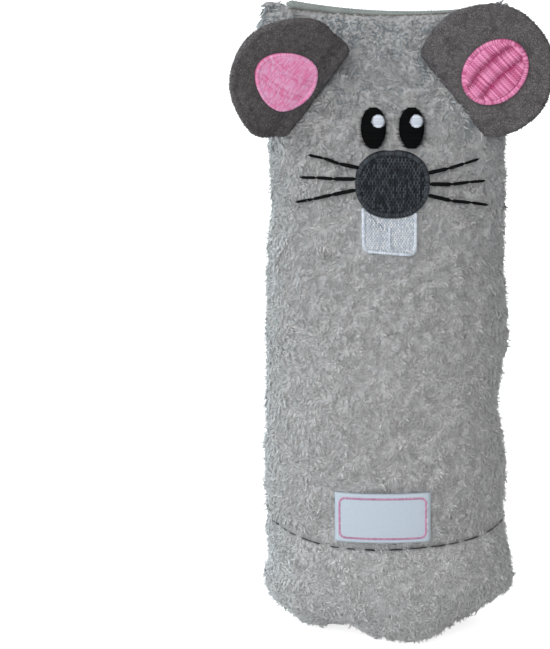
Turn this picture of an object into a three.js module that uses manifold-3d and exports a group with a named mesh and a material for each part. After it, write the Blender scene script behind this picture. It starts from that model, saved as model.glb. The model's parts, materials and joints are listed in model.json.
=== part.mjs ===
// Catnip mouse: a stuffed plush cat toy that stands on an oval base and has two soft ears.
// Millimetres, +Z up. The face looks along -Y, +X is on its right as seen from the front,
// and the origin is the middle of the base's flat underside.
import * as THREE from "three";
import { mergeVertices } from "three/addons/utils/BufferGeometryUtils.js";
import Module from "manifold-3d";

// Body: a plush tube that is round at the base seam and pinched flat at the top seam
const BODY_HEIGHT = 239; // floor to the middle of the top edge
const TOP_CORNER_RISE = 4; // the top edge's corners stand above its middle
const TOP_WIDTH = 91;
const TOP_THICKNESS = 5; // both plush layers, pinched by the top seam
const BODY_WIDTH = 93;
const BODY_DEPTH = 57;
const PLUSH_THICKNESS = 4; // knit backing and pile together
const ROUNDNESS = 2.2; // exponent of the level sections: 2 is an ellipse, more is boxier
const TAPER_START = 2.2; // larger keeps the body full further up
const TAPER_FULLNESS = 0.7; // smaller keeps the shoulders rounder

// Base: the puffy section below the dark seam, rounded under to a flat oval
const BASE_SEAM_HEIGHT = 40; // at the front and the back
const BASE_SEAM_SIDE_RISE = 5; // its sides stand above its front and back
const BASE_SEAM_WIDTH = 90.5;
const BASE_SEAM_DEPTH = 52;
const BASE_SEAM_REACH = 16; // how far above it the seam draws the body in
const BASE_SWELL_HEIGHT = 18;
const BASE_SWELL_WIDTH = 97;
const BASE_SWELL_DEPTH = 61;
const BASE_FULLNESS = 0.7;
const BASE_ROUNDNESS = 1.6; // exponent of its profile below the swell: 2 is an ellipse, less is slanted
const FOOT_WIDTH = 52;
const FOOT_DEPTH = 36;

// Top seam strip: the smooth knit strip that closes the pinched top
const TOP_STRIP_LENGTH = 74;
const TOP_STRIP_HEIGHT = 2.6;
const TOP_STRIP_THICKNESS = 3.4;

// Stuffing and the herb sachet inside it
const FILLING_TOP_DROP = 24; // the stuffing ends this far below the top edge
const SACHET_WIDTH = 46;
const SACHET_HEIGHT = 58;
const SACHET_DEPTH = 15;
const SACHET_CORNER = 8;
const SACHET_HEM = 5;
const SACHET_CLOTH = 0.6;
const SACHET_RISE = 66; // its middle above the base seam

// Face: heights are measured down from the middle of the top edge
const FACE_OFFSET = 2; // the embroidery sits a little to the right of the body's middle
const EMBROIDERY_THICKNESS = 1.4;
const EMBROIDERY_EDGE = 0.5; // edge thickness as a share of the middle's
const EYE_WIDTH = 10;
const EYE_HEIGHT = 14.6;
const EYE_SPACING = 13.9;
const EYE_DROP = 40;
const GLINT_WIDTH = 4.8;
const GLINT_SHIFT = 1.8;
const GLINT_RISE = 2.5;
const GLINT_THICKNESS = 0.7;
const NOSE_WIDTH = 27.4;
const NOSE_HEIGHT = 24.2;
const NOSE_DROP = 60;
const NOSE_RIM_WIDTH = 1.7;
const NOSE_THICKNESS = 1.6;
const WHISKER_DIAMETER = 1.1;
const WHISKER_SPACING = 4; // between neighbours where they leave the nose
const WHISKER_SPREAD = 14.5; // degrees between neighbours
const WHISKER_START = 0.8; // from the nose rim to a whisker's end
const LEFT_WHISKER_RISE = 1.8; // the left whiskers are sewn higher than the right ones
const UPPER_WHISKER_LENGTH = 17.5;
const MIDDLE_WHISKER_LENGTH = 18.5;
const LOWER_WHISKER_LENGTH = 21;
const TEETH_WIDTH = 19.4;
const TEETH_DROP = 85; // their lower edge
const TEETH_OFFSET = -1.1; // from the face's middle
const TEETH_CORNER = 2.6;
const TEETH_THREAD = 1.1; // border and dividing line

// Label: heights are measured up from the base seam
const LABEL_WIDTH = 36;
const LABEL_HEIGHT = 19.5;
const LABEL_CORNER = 1.2;
const LABEL_THICKNESS = 0.9;
const LABEL_OFFSET = -1.6;
const LABEL_RISE = 13.6; // its middle
const LABEL_STITCH_INSET = 1.3;
const LABEL_STITCH_LENGTH = 15.5;
const LABEL_STITCH_DIAMETER = 0.6;

// Ears: round cloth flaps, cut straight where they are sewn on
const EAR_WIDTH = 49;
const EAR_LENGTH = 39; // from the sewn edge to the tip
const EAR_CLOTH = 1.3; // one of the two layers
const EAR_SEAM_X = 24.5; // middle of the sewn edge
const EAR_SEAM_DROP = 28;
const EAR_SEAM_LEAN = 53; // degrees from level
const LEFT_EAR_TILT = 32; // degrees forward at rest
const RIGHT_EAR_TILT = 6;
const LEFT_EAR_CUP = 6; // its sides stand this far forward of its middle
const RIGHT_EAR_CUP = 2;
const EAR_PATCH_LENGTH = 27;
const EAR_PATCH_WIDTH = 22;
const EAR_PATCH_SETBACK = 17; // its middle from the sewn edge
const EAR_PATCH_SHIFT = 2; // along the sewn edge, toward its lower end

const BASE_THREAD_DIAMETER = 1.4;
const CLEARANCE = 0.3; // between neighbouring pieces

// Facets
const PANEL_COLUMNS = 22;
const PANEL_ROWS = 18;
const FILLING_ROWS = 8;
const LOOP_SEGMENTS = 36;
const BAND_ROWS = 6;
const FILLING_TOP_RINGS = 3;
const FOOT_ROWS = 3;
const PAD_SEGMENTS = 20;
const PAD_RINGS = 3;
const EAR_SEGMENTS = 28;
const EAR_RINGS = 4;
const THREAD_SIDES = 6;
const WHISKER_STEPS = 6;

const wasm = await Module();
wasm.setup();

const plush = new THREE.MeshStandardMaterial({ color: 0x98999a, roughness: 1, metalness: 0 });
const knit = new THREE.MeshStandardMaterial({ color: 0x838a87, roughness: 0.95, metalness: 0 });
const stuffing = new THREE.MeshStandardMaterial({ color: 0xf2f0ea, roughness: 1, metalness: 0 });
const pouchCloth = new THREE.MeshStandardMaterial({ color: 0xe4e1d6, roughness: 0.95, metalness: 0 });
const herb = new THREE.MeshStandardMaterial({ color: 0x75803f, roughness: 1, metalness: 0 });
const earCloth = new THREE.MeshStandardMaterial({ color: 0x595759, roughness: 0.95, metalness: 0 });
const pinkThread = new THREE.MeshStandardMaterial({ color: 0xcc7da2, roughness: 0.5, metalness: 0 });
const blackThread = new THREE.MeshStandardMaterial({ color: 0x141416, roughness: 0.5, metalness: 0 });
const noseThread = new THREE.MeshStandardMaterial({ color: 0x2f3337, roughness: 0.55, metalness: 0 });
const whiteThread = new THREE.MeshStandardMaterial({ color: 0xd6dbe2, roughness: 0.5, metalness: 0 });
const seamThread = new THREE.MeshStandardMaterial({ color: 0x3b3b3d, roughness: 0.7, metalness: 0 });
const labelWeave = new THREE.MeshStandardMaterial({ color: 0xe2e8ee, roughness: 0.6, metalness: 0 });

const mouse = new THREE.Group();

function addPiece(parent, name, geometry, material) {
  const piece = new THREE.Mesh(geometry, material);
  piece.name = name;
  parent.add(piece);
  return piece;
}

// A closed geometry from points and triangles, turned so that its faces point outwards
function closedGeometry(points, triangles) {
  let volume = 0;
  for (const [a, b, c] of triangles) {
    const across = new THREE.Vector3().crossVectors(points[b], points[c]);
    volume += points[a].dot(across);
  }
  const facing = volume < 0 ? triangles.map(([a, b, c]) => [a, c, b]) : triangles;
  const geometry = new THREE.BufferGeometry().setFromPoints(points);
  geometry.setIndex(facing.flat());
  geometry.computeVertexNormals();
  return geometry;
}

function quad(a, b, c, d) {
  return [
    [a, b, c],
    [a, c, d],
  ];
}

// The same triangles on the other layer of a sheet or pad, facing the other way
function farSide(triangles, layer) {
  return triangles.map(([a, b, c]) => [a + layer, c + layer, b + layer]);
}

// A sheet with thickness: two matching grids of points over (across, up), each from 0 to 1
function sheetSolid(columns, rows, frontPoint, backPoint) {
  const points = [];
  for (const pointAt of [frontPoint, backPoint]) {
    for (let row = 0; row <= rows; row += 1) {
      for (let column = 0; column <= columns; column += 1) {
        points.push(pointAt(column / columns, row / rows));
      }
    }
  }
  const layer = (columns + 1) * (rows + 1);
  const at = (column, row) => row * (columns + 1) + column;
  const triangles = [];
  for (let row = 0; row < rows; row += 1) {
    for (let column = 0; column < columns; column += 1) {
      const corners = [at(column, row), at(column + 1, row), at(column + 1, row + 1), at(column, row + 1)];
      triangles.push(...quad(...corners));
    }
  }
  triangles.push(...farSide(triangles, layer));
  const rim = [];
  for (let column = 0; column < columns; column += 1) rim.push(at(column, 0));
  for (let row = 0; row < rows; row += 1) rim.push(at(columns, row));
  for (let column = columns; column > 0; column -= 1) rim.push(at(column, rows));
  for (let row = rows; row > 0; row -= 1) rim.push(at(0, row));
  rim.forEach((here, index) => {
    const next = rim[(index + 1) % rim.length];
    triangles.push(...quad(here, here + layer, next + layer, next));
  });
  return closedGeometry(points, triangles);
}

// A pad with thickness: two matching round grids over (turn, out), out being 0 in the middle and 1 at the rim
function padSolid(segments, rings, frontPoint, backPoint) {
  const points = [];
  for (const pointAt of [frontPoint, backPoint]) {
    points.push(pointAt(0, 0));
    for (let ring = 1; ring <= rings; ring += 1) {
      for (let segment = 0; segment < segments; segment += 1) {
        points.push(pointAt((segment / segments) * 2 * Math.PI, ring / rings));
      }
    }
  }
  const layer = 1 + rings * segments;
  const at = (ring, segment) => 1 + (ring - 1) * segments + (segment % segments);
  const triangles = [];
  for (let segment = 0; segment < segments; segment += 1) {
    triangles.push([0, at(1, segment), at(1, segment + 1)]);
    for (let ring = 1; ring < rings; ring += 1) {
      const inner = [at(ring, segment), at(ring, segment + 1)];
      const outer = [at(ring + 1, segment), at(ring + 1, segment + 1)];
      triangles.push(...quad(inner[0], outer[0], outer[1], inner[1]));
    }
  }
  triangles.push(...farSide(triangles, layer));
  for (let segment = 0; segment < segments; segment += 1) {
    const here = at(rings, segment);
    const next = at(rings, segment + 1);
    triangles.push(...quad(here, here + layer, next + layer, next));
  }
  return closedGeometry(points, triangles);
}

// A closed loop: pointAt(segment, corner) goes round the loop and round its section
function loopSolid(segments, corners, pointAt) {
  const points = [];
  for (let segment = 0; segment < segments; segment += 1) {
    for (let corner = 0; corner < corners; corner += 1) points.push(pointAt(segment, corner));
  }
  const at = (segment, corner) => (segment % segments) * corners + (corner % corners);
  const triangles = [];
  for (let segment = 0; segment < segments; segment += 1) {
    for (let corner = 0; corner < corners; corner += 1) {
      const here = [at(segment, corner), at(segment, corner + 1)];
      const next = [at(segment + 1, corner), at(segment + 1, corner + 1)];
      triangles.push(...quad(here[0], next[0], next[1], here[1]));
    }
  }
  return closedGeometry(points, triangles);
}

// Level rings stacked from bottom to top, with a flat lid at each end
function stackSolid(segments, ringPoints, bottomMiddle, topMiddle) {
  const points = [...ringPoints.flat(), bottomMiddle, topMiddle];
  const bottom = points.length - 2;
  const top = points.length - 1;
  const last = ringPoints.length - 1;
  const at = (ring, segment) => ring * segments + (segment % segments);
  const triangles = [];
  for (let segment = 0; segment < segments; segment += 1) {
    triangles.push([bottom, at(0, segment + 1), at(0, segment)]);
    triangles.push([top, at(last, segment), at(last, segment + 1)]);
    for (let ring = 0; ring < last; ring += 1) {
      const low = [at(ring, segment), at(ring, segment + 1)];
      const high = [at(ring + 1, segment), at(ring + 1, segment + 1)];
      triangles.push(...quad(low[0], low[1], high[1], high[0]));
    }
  }
  return closedGeometry(points, triangles);
}

// A round thread along a smooth path
function threadSolid(pathPoints, diameter, steps) {
  const section = new THREE.Shape();
  section.absarc(0, 0, diameter / 2, 0, 2 * Math.PI, false);
  const path = new THREE.CatmullRomCurve3(pathPoints);
  const settings = { steps, curveSegments: THREAD_SIDES / 2, extrudePath: path, bevelEnabled: false };
  return new THREE.ExtrudeGeometry(section, settings);
}

// What is left of one solid after another is cut out of it
function cutOut(geometry, cutter) {
  const [kept, removed] = [geometry, cutter].map((source) => {
    const bare = source.clone();
    bare.deleteAttribute("normal");
    bare.deleteAttribute("uv");
    const merged = mergeVertices(bare);
    const vertProperties = merged.getAttribute("position").array;
    const triVerts = new Uint32Array(merged.index.array);
    return new wasm.Manifold(new wasm.Mesh({ numProp: 3, vertProperties, triVerts }));
  });
  const mesh = kept.subtract(removed).getMesh();
  const result = new THREE.BufferGeometry();
  result.setAttribute("position", new THREE.BufferAttribute(new Float32Array(mesh.vertProperties), 3));
  result.setIndex(new THREE.BufferAttribute(new Uint32Array(mesh.triVerts), 1));
  result.computeVertexNormals();
  return result;
}

// Unit point of a level section at an angle: 0 is the front (-Y) and a quarter turn is +X
function sectionPoint(angle) {
  const bend = 2 / ROUNDNESS;
  const sideways = Math.sin(angle);
  const forward = Math.cos(angle);
  return {
    across: Math.sign(sideways) * Math.abs(sideways) ** bend,
    back: -Math.sign(forward) * Math.abs(forward) ** bend,
  };
}

function topHeight(across) {
  return BODY_HEIGHT + TOP_CORNER_RISE * across ** 2;
}

function seamHeight(across) {
  return BASE_SEAM_HEIGHT + BASE_SEAM_SIDE_RISE * across ** 2;
}

// Half width and half depth of the body at a share of the way from the base seam to the top edge
function bodyHalfSizes(share) {
  const swell = Math.max(1 - share ** TAPER_START, 0) ** TAPER_FULLNESS;
  const aboveSeam = share * (BODY_HEIGHT - BASE_SEAM_HEIGHT);
  const drawnIn = Math.max(1 - aboveSeam / BASE_SEAM_REACH, 0) ** 2;
  const width = BODY_WIDTH + (TOP_WIDTH - BODY_WIDTH) * share;
  const depth = TOP_THICKNESS + (BODY_DEPTH - TOP_THICKNESS) * swell;
  return {
    width: (width - (BODY_WIDTH - BASE_SEAM_WIDTH) * drawnIn) / 2,
    depth: (depth - (BODY_DEPTH - BASE_SEAM_DEPTH) * drawnIn) / 2,
  };
}

// Point of the body's skin, inset by a distance; side is -1 on the front half and 1 on the back half
function bodyPoint(angle, share, inset, side) {
  const half = bodyHalfSizes(share);
  const { across, back } = sectionPoint(angle);
  const depth = Math.max(half.depth - inset, 0);
  const y = side * (CLEARANCE / 2 + depth * Math.abs(back));
  const low = seamHeight(across);
  const z = low + share * (topHeight(across) - low);
  return new THREE.Vector3((half.width - inset) * across, y, z);
}

// Depth of the front panel's face at a place seen from the front
function frontFace(x, z) {
  let across = x / (BODY_WIDTH / 2);
  let share = 0;
  const rounds = 6;
  for (let round = 0; round < rounds; round += 1) {
    const low = seamHeight(across);
    share = THREE.MathUtils.clamp((z - low) / (topHeight(across) - low), 0, 1);
    across = THREE.MathUtils.clamp(x / bodyHalfSizes(share).width, -1, 1);
  }
  const bulge = (1 - Math.abs(across) ** ROUNDNESS) ** (1 / ROUNDNESS);
  return -(CLEARANCE / 2 + bodyHalfSizes(share).depth * bulge);
}

function onFront(x, z, lift) {
  return new THREE.Vector3(x, frontFace(x, z) - lift, z);
}

// Half size of the base at a height, between the foot, the swell and the seam
function baseHalfSize(height, foot, swell, seam) {
  if (height < BASE_SWELL_HEIGHT) {
    const lean = 1 - height / BASE_SWELL_HEIGHT;
    return (foot + (swell - foot) * (1 - lean ** BASE_ROUNDNESS) ** (1 / BASE_ROUNDNESS)) / 2;
  }
  const rise = (height - BASE_SWELL_HEIGHT) / (BASE_SEAM_HEIGHT - BASE_SWELL_HEIGHT);
  return (seam + (swell - seam) * Math.max(1 - rise ** 2, 0) ** BASE_FULLNESS) / 2;
}

// Point of the base's skin: the levels bend up to the seam's sides, and out shrinks a level to its middle
function basePoint(angle, height, inset, out = 1) {
  const { across, back } = sectionPoint(angle);
  const width = baseHalfSize(height, FOOT_WIDTH, BASE_SWELL_WIDTH, BASE_SEAM_WIDTH) - inset;
  const depth = baseHalfSize(height, FOOT_DEPTH, BASE_SWELL_DEPTH, BASE_SEAM_DEPTH) - inset;
  const z = (height / BASE_SEAM_HEIGHT) * seamHeight(out * across);
  return new THREE.Vector3(out * width * across, out * depth * back, z);
}

function loopAngle(segment) {
  return (segment / LOOP_SEGMENTS) * 2 * Math.PI;
}

function levelRing(height, inset, out) {
  const pointAt = (_, segment) => basePoint(loopAngle(segment), height, inset, out);
  return Array.from({ length: LOOP_SEGMENTS }, pointAt);
}

// Front and back panels: half tubes from the base seam to the top edge
const lowestShare = CLEARANCE / 2 / (BODY_HEIGHT - BASE_SEAM_HEIGHT);

function halfTubePoint(across, up, inset, side, highestShare) {
  const angle = (across - 0.5) * Math.PI;
  const share = lowestShare + up * (highestShare - lowestShare);
  return bodyPoint(angle, share, inset, side);
}

function panelSolid(side) {
  const outer = (across, up) => halfTubePoint(across, up, 0, side, 1);
  const inner = (across, up) => halfTubePoint(across, up, PLUSH_THICKNESS, side, 1);
  return sheetSolid(PANEL_COLUMNS, PANEL_ROWS, outer, inner);
}

addPiece(mouse, "front_panel", panelSolid(-1), plush);
addPiece(mouse, "back_panel", panelSolid(1), plush);

// Base: a band of plush between the seam and the foot, and the flat oval that closes it
const bandBottom = PLUSH_THICKNESS + CLEARANCE;
const bandTop = BASE_SEAM_HEIGHT - CLEARANCE / 2;

function bandPoint(segment, corner) {
  const outside = corner <= BAND_ROWS;
  const row = outside ? corner : 2 * BAND_ROWS + 1 - corner;
  const height = bandBottom + (row / BAND_ROWS) * (bandTop - bandBottom);
  return basePoint(loopAngle(segment), height, outside ? 0 : PLUSH_THICKNESS);
}

addPiece(mouse, "base_band", loopSolid(LOOP_SEGMENTS, 2 * (BAND_ROWS + 1), bandPoint), plush);

const footRings = Array.from({ length: FOOT_ROWS + 1 }, (_, row) =>
  levelRing((row / FOOT_ROWS) ** 2 * PLUSH_THICKNESS, 0),
);
const footMiddle = new THREE.Vector3(0, 0, 0);
const footTop = new THREE.Vector3(0, 0, PLUSH_THICKNESS);
addPiece(mouse, "base_panel", stackSolid(LOOP_SEGMENTS, footRings, footMiddle, footTop), plush);

// Top seam strip: lies along the pinched edge of both panels
function topStripPoint(share, corner) {
  const x = (share - 0.5) * TOP_STRIP_LENGTH;
  const low = topHeight(x / (TOP_WIDTH / 2 - PLUSH_THICKNESS)) + CLEARANCE;
  const high = low + TOP_STRIP_HEIGHT;
  const y = corner.y * (TOP_STRIP_THICKNESS / 2);
  return new THREE.Vector3(x, y, corner.high ? high : low);
}

const stripFront = (across, up) => topStripPoint(across, { y: -1, high: up > 0.5 });
const stripBack = (across, up) => topStripPoint(across, { y: 1, high: up > 0.5 });
addPiece(mouse, "top_seam_strip", sheetSolid(PANEL_COLUMNS, 1, stripFront, stripBack), knit);

// Herb sachet: two cloth sides with a flat hem, round the dried herb
const sachetHeight = BASE_SEAM_HEIGHT + SACHET_RISE;

// Rim of a rectangle with rounded corners, in the direction of an angle
function roundedRim(angle, width, height, corner) {
  const direction = new THREE.Vector2(Math.cos(angle), Math.sin(angle));
  const flat = new THREE.Vector2(width / 2 - corner, height / 2 - corner);
  const reachX = width / 2 / Math.abs(direction.x);
  const reachY = height / 2 / Math.abs(direction.y);
  const hit = direction.clone().multiplyScalar(Math.min(reachX, reachY));
  if (Math.abs(hit.x) <= flat.x || Math.abs(hit.y) <= flat.y) return hit;
  const centre = new THREE.Vector2(Math.sign(hit.x) * flat.x, Math.sign(hit.y) * flat.y);
  const along = direction.dot(centre);
  const offset = centre.lengthSq() - along ** 2;
  return direction.multiplyScalar(along + Math.sqrt(Math.max(corner ** 2 - offset, 0)));
}

// Bulge of the sachet at a share of the way out to its rim; the hem stays flat
function sachetBulge(out, rimDistance) {
  const hemShare = Math.min(SACHET_HEM / rimDistance, 1);
  const inward = Math.min(out / (1 - hemShare), 1);
  return (SACHET_DEPTH / 2) * (1 - inward ** 2);
}

function sachetPoint(angle, out, side, lift, margin) {
  const width = SACHET_WIDTH + 2 * margin;
  const height = SACHET_HEIGHT + 2 * margin;
  const rim = roundedRim(angle, width, height, SACHET_CORNER + margin);
  const bulge = sachetBulge(out, rim.length());
  const y = side * (CLEARANCE / 2 + bulge + lift);
  return new THREE.Vector3(rim.x * out, y, sachetHeight + rim.y * out);
}

function sachetSide(side) {
  const outer = (angle, out) => sachetPoint(angle, out, side, SACHET_CLOTH, 0);
  const inner = (angle, out) => sachetPoint(angle, out, side, 0, 0);
  return padSolid(PAD_SEGMENTS, PAD_RINGS + 1, outer, inner);
}

const herbEdge = CLEARANCE / 4; // half its thickness at the rim

function herbPoint(angle, out, side) {
  const rim = roundedRim(angle, SACHET_WIDTH, SACHET_HEIGHT, SACHET_CORNER);
  const share = out * (1 - Math.min((SACHET_HEM + 2 * CLEARANCE) / rim.length(), 1));
  const bulge = Math.max(sachetBulge(share, rim.length()) - CLEARANCE, herbEdge);
  return new THREE.Vector3(rim.x * share, side * bulge, sachetHeight + rim.y * share);
}

addPiece(mouse, "sachet_front", sachetSide(-1), pouchCloth);
addPiece(mouse, "sachet_back", sachetSide(1), pouchCloth);
const herbFront = (angle, out) => herbPoint(angle, out, -1);
const herbBack = (angle, out) => herbPoint(angle, out, 1);
addPiece(mouse, "dried_catnip", padSolid(PAD_SEGMENTS, PAD_RINGS, herbFront, herbBack), herb);

// Stuffing: two halves round the sachet, and the base's own
const fillingInset = PLUSH_THICKNESS + CLEARANCE;
const halfGap = CLEARANCE / 4; // each half's flat face from the body's middle plane
const fillingTop = 1 - FILLING_TOP_DROP / (BODY_HEIGHT - BASE_SEAM_HEIGHT);

function fillingSolid(side) {
  const outer = (across, up) => halfTubePoint(across, up, fillingInset, side, fillingTop);
  const flat = (across, up) => outer(across, up).setY(side * halfGap);
  const pocketOuter = (angle, out) => sachetPoint(angle, out, side, SACHET_CLOTH + CLEARANCE, CLEARANCE);
  const pocketInner = (angle, out) => sachetPoint(angle, out, side, -SACHET_DEPTH, CLEARANCE);
  const pocket = padSolid(PAD_SEGMENTS, PAD_RINGS + 1, pocketOuter, pocketInner);
  return cutOut(sheetSolid(PANEL_COLUMNS, FILLING_ROWS, outer, flat), pocket);
}

addPiece(mouse, "front_filling", fillingSolid(-1), stuffing);
addPiece(mouse, "back_filling", fillingSolid(1), stuffing);

const baseFillingRings = Array.from({ length: BAND_ROWS + 1 }, (_, row) =>
  levelRing(bandBottom + (row / BAND_ROWS) * (bandTop - bandBottom), fillingInset),
);
for (let ring = FILLING_TOP_RINGS; ring > 0; ring -= 1) {
  baseFillingRings.push(levelRing(bandTop, fillingInset, ring / (FILLING_TOP_RINGS + 1)));
}
const baseFillingBottom = new THREE.Vector3(0, 0, bandBottom);
const baseFillingTop = new THREE.Vector3(0, 0, bandTop);
const baseFilling = stackSolid(LOOP_SEGMENTS, baseFillingRings, baseFillingBottom, baseFillingTop);
addPiece(mouse, "base_filling", baseFilling, stuffing);

// Dark thread that lies in the groove of the base seam
function baseThreadPoint(segment, corner) {
  const radius = BASE_THREAD_DIAMETER / 2;
  const turn = (corner / THREAD_SIDES) * 2 * Math.PI;
  const outset = radius + CLEARANCE + radius * Math.cos(turn);
  const point = basePoint(loopAngle(segment), BASE_SEAM_HEIGHT, -outset);
  return point.setZ(point.z + radius * Math.sin(turn));
}

addPiece(mouse, "base_seam_thread", loopSolid(LOOP_SEGMENTS, THREAD_SIDES, baseThreadPoint), seamThread);

// Embroidered pads: they follow the front panel, and are thickest in the middle
function ellipseRim(width, height) {
  return (angle) => new THREE.Vector2((width / 2) * Math.cos(angle), (height / 2) * Math.sin(angle));
}

function facePad(x, z, rimAt, lift, thickness) {
  const place = (angle, out, raise) => {
    const rim = rimAt(angle).multiplyScalar(out);
    return onFront(x + rim.x, z + rim.y, lift + raise);
  };
  const front = (angle, out) => {
    const swell = EMBROIDERY_EDGE + (1 - EMBROIDERY_EDGE) * (1 - out ** 2);
    return place(angle, out, thickness * swell);
  };
  const back = (angle, out) => place(angle, out, 0);
  return padSolid(PAD_SEGMENTS, PAD_RINGS, front, back);
}

const eyeHeight = BODY_HEIGHT - EYE_DROP;
for (const [name, side] of [
  ["left", -1],
  ["right", 1],
]) {
  const eyeX = FACE_OFFSET + (side * EYE_SPACING) / 2;
  const eyeRim = ellipseRim(EYE_WIDTH, EYE_HEIGHT);
  const eye = facePad(eyeX, eyeHeight, eyeRim, CLEARANCE, EMBROIDERY_THICKNESS);
  addPiece(mouse, name + "_eye", eye, blackThread);
  const glintLift = CLEARANCE + EMBROIDERY_THICKNESS + CLEARANCE;
  const glintRim = ellipseRim(GLINT_WIDTH, GLINT_WIDTH);
  const glint = facePad(eyeX + GLINT_SHIFT, eyeHeight + GLINT_RISE, glintRim, glintLift, GLINT_THICKNESS);
  addPiece(mouse, name + "_eye_glint", glint, whiteThread);
}

// Nose: a filled oval inside a satin rim
const noseHeight = BODY_HEIGHT - NOSE_DROP;
const noseFillMargin = 2 * (NOSE_RIM_WIDTH + CLEARANCE);
const noseFillRim = ellipseRim(NOSE_WIDTH - noseFillMargin, NOSE_HEIGHT - noseFillMargin);
const noseFill = facePad(FACE_OFFSET, noseHeight, noseFillRim, CLEARANCE, NOSE_THICKNESS);
addPiece(mouse, "nose", noseFill, noseThread);

function noseRimPoint(segment, corner) {
  const turn = (corner / THREAD_SIDES) * 2 * Math.PI;
  const radius = NOSE_RIM_WIDTH / 2;
  const angle = loopAngle(segment);
  const reach = 2 * radius * (1 - Math.cos(turn));
  const rim = ellipseRim(NOSE_WIDTH - reach, NOSE_HEIGHT - reach)(angle);
  return onFront(FACE_OFFSET + rim.x, noseHeight + rim.y, CLEARANCE + radius * (1 + Math.sin(turn)));
}

addPiece(mouse, "nose_rim", loopSolid(LOOP_SEGMENTS, THREAD_SIDES, noseRimPoint), noseThread);

// Whiskers: single threads that fan out from the nose rim
const whiskers = [
  ["upper", 1, UPPER_WHISKER_LENGTH],
  ["middle", 0, MIDDLE_WHISKER_LENGTH],
  ["lower", -1, LOWER_WHISKER_LENGTH],
];

function whiskerSolid(side, step, length) {
  const startZ = step * WHISKER_SPACING + (side < 0 ? LEFT_WHISKER_RISE : 0);
  const noseShare = Math.sqrt(Math.max(1 - (startZ / (NOSE_HEIGHT / 2)) ** 2, 0));
  const startX = (NOSE_WIDTH / 2) * noseShare + WHISKER_START + WHISKER_DIAMETER / 2;
  const slope = THREE.MathUtils.degToRad(step * WHISKER_SPREAD);
  const points = [];
  for (let stop = 0; stop <= WHISKER_STEPS; stop += 1) {
    const along = (stop / WHISKER_STEPS) * length;
    const x = FACE_OFFSET + side * (startX + along * Math.cos(slope));
    const z = noseHeight + startZ + along * Math.sin(slope);
    points.push(onFront(x, z, CLEARANCE + WHISKER_DIAMETER / 2));
  }
  return threadSolid(points, WHISKER_DIAMETER, WHISKER_STEPS);
}

for (const [level, step, length] of whiskers) {
  addPiece(mouse, "left_" + level + "_whisker", whiskerSolid(-1, step, length), blackThread);
  addPiece(mouse, "right_" + level + "_whisker", whiskerSolid(1, step, length), blackThread);
}

// Teeth: two white pads below the nose, a border round them and a line between them
const teethX = FACE_OFFSET + TEETH_OFFSET;
const teethBottom = BODY_HEIGHT - TEETH_DROP;
const toothColumns = 6;
const toothRows = 4;

// Height of the nose's lower edge at a place, with room for the teeth below it
function underNose(x) {
  const across = THREE.MathUtils.clamp((x - FACE_OFFSET) / (NOSE_WIDTH / 2), -1, 1);
  return noseHeight - (NOSE_HEIGHT / 2) * Math.sqrt(1 - across ** 2) - 2 * CLEARANCE;
}

function toothSolid(side) {
  const inner = TEETH_THREAD / 2 + CLEARANCE;
  const outer = TEETH_WIDTH / 2 - TEETH_THREAD - CLEARANCE;
  const place = (across, up, raise) => {
    const reach = inner + across * (outer - inner);
    const x = teethX + side * reach;
    const overCorner = Math.max(reach - (outer - TEETH_CORNER), 0);
    const cornerLift = TEETH_CORNER - Math.sqrt(TEETH_CORNER ** 2 - overCorner ** 2);
    const low = teethBottom + TEETH_THREAD + CLEARANCE + cornerLift;
    const z = low + up * (underNose(x) - low);
    return onFront(x, z, CLEARANCE + raise);
  };
  const front = (across, up) => place(across, up, EMBROIDERY_THICKNESS);
  const back = (across, up) => place(across, up, 0);
  return sheetSolid(toothColumns, toothRows, front, back);
}

addPiece(mouse, "left_tooth", toothSolid(-1), whiteThread);
addPiece(mouse, "right_tooth", toothSolid(1), whiteThread);

const threadLift = CLEARANCE + TEETH_THREAD / 2;
const borderReach = (TEETH_WIDTH - TEETH_THREAD) / 2;
const borderLow = teethBottom + TEETH_THREAD / 2;
const cornerRadius = TEETH_CORNER + CLEARANCE;

function borderSide(side) {
  const x = teethX + side * borderReach;
  const top = underNose(x) - TEETH_THREAD / 2;
  const middle = (top + borderLow + cornerRadius) / 2;
  const bend = cornerRadius * (1 - Math.SQRT1_2);
  return [
    [x, top],
    [x, middle],
    [x, borderLow + cornerRadius],
    [x - side * bend, borderLow + bend],
    [x - side * cornerRadius, borderLow],
  ];
}

const borderRoute = [...borderSide(-1), [teethX, borderLow], ...borderSide(1).reverse()];
const borderPoints = borderRoute.map(([x, z]) => onFront(x, z, threadLift));
const borderSteps = 30;
addPiece(mouse, "teeth_rim", threadSolid(borderPoints, TEETH_THREAD, borderSteps), whiteThread);

const dividerLow = borderLow + TEETH_THREAD + CLEARANCE;
const dividerHigh = underNose(teethX) - TEETH_THREAD;
const dividerStops = [0, 0.5, 1].map((share) => dividerLow + share * (dividerHigh - dividerLow));
const dividerPoints = dividerStops.map((z) => onFront(teethX, z, threadLift));
const dividerSteps = 3;
addPiece(mouse, "teeth_divider", threadSolid(dividerPoints, TEETH_THREAD, dividerSteps), whiteThread);

// Label: a woven tab sewn down at its short sides
const labelHeight = BASE_SEAM_HEIGHT + LABEL_RISE;

function labelPoint(across, up, lift) {
  const reach = Math.abs(across - 0.5) * LABEL_WIDTH;
  const overCorner = Math.max(reach - (LABEL_WIDTH / 2 - LABEL_CORNER), 0);
  const cornerDrop = LABEL_CORNER - Math.sqrt(LABEL_CORNER ** 2 - overCorner ** 2);
  const z = labelHeight + (up - 0.5) * (LABEL_HEIGHT - 2 * cornerDrop);
  return onFront(LABEL_OFFSET + (across - 0.5) * LABEL_WIDTH, z, lift);
}

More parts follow.
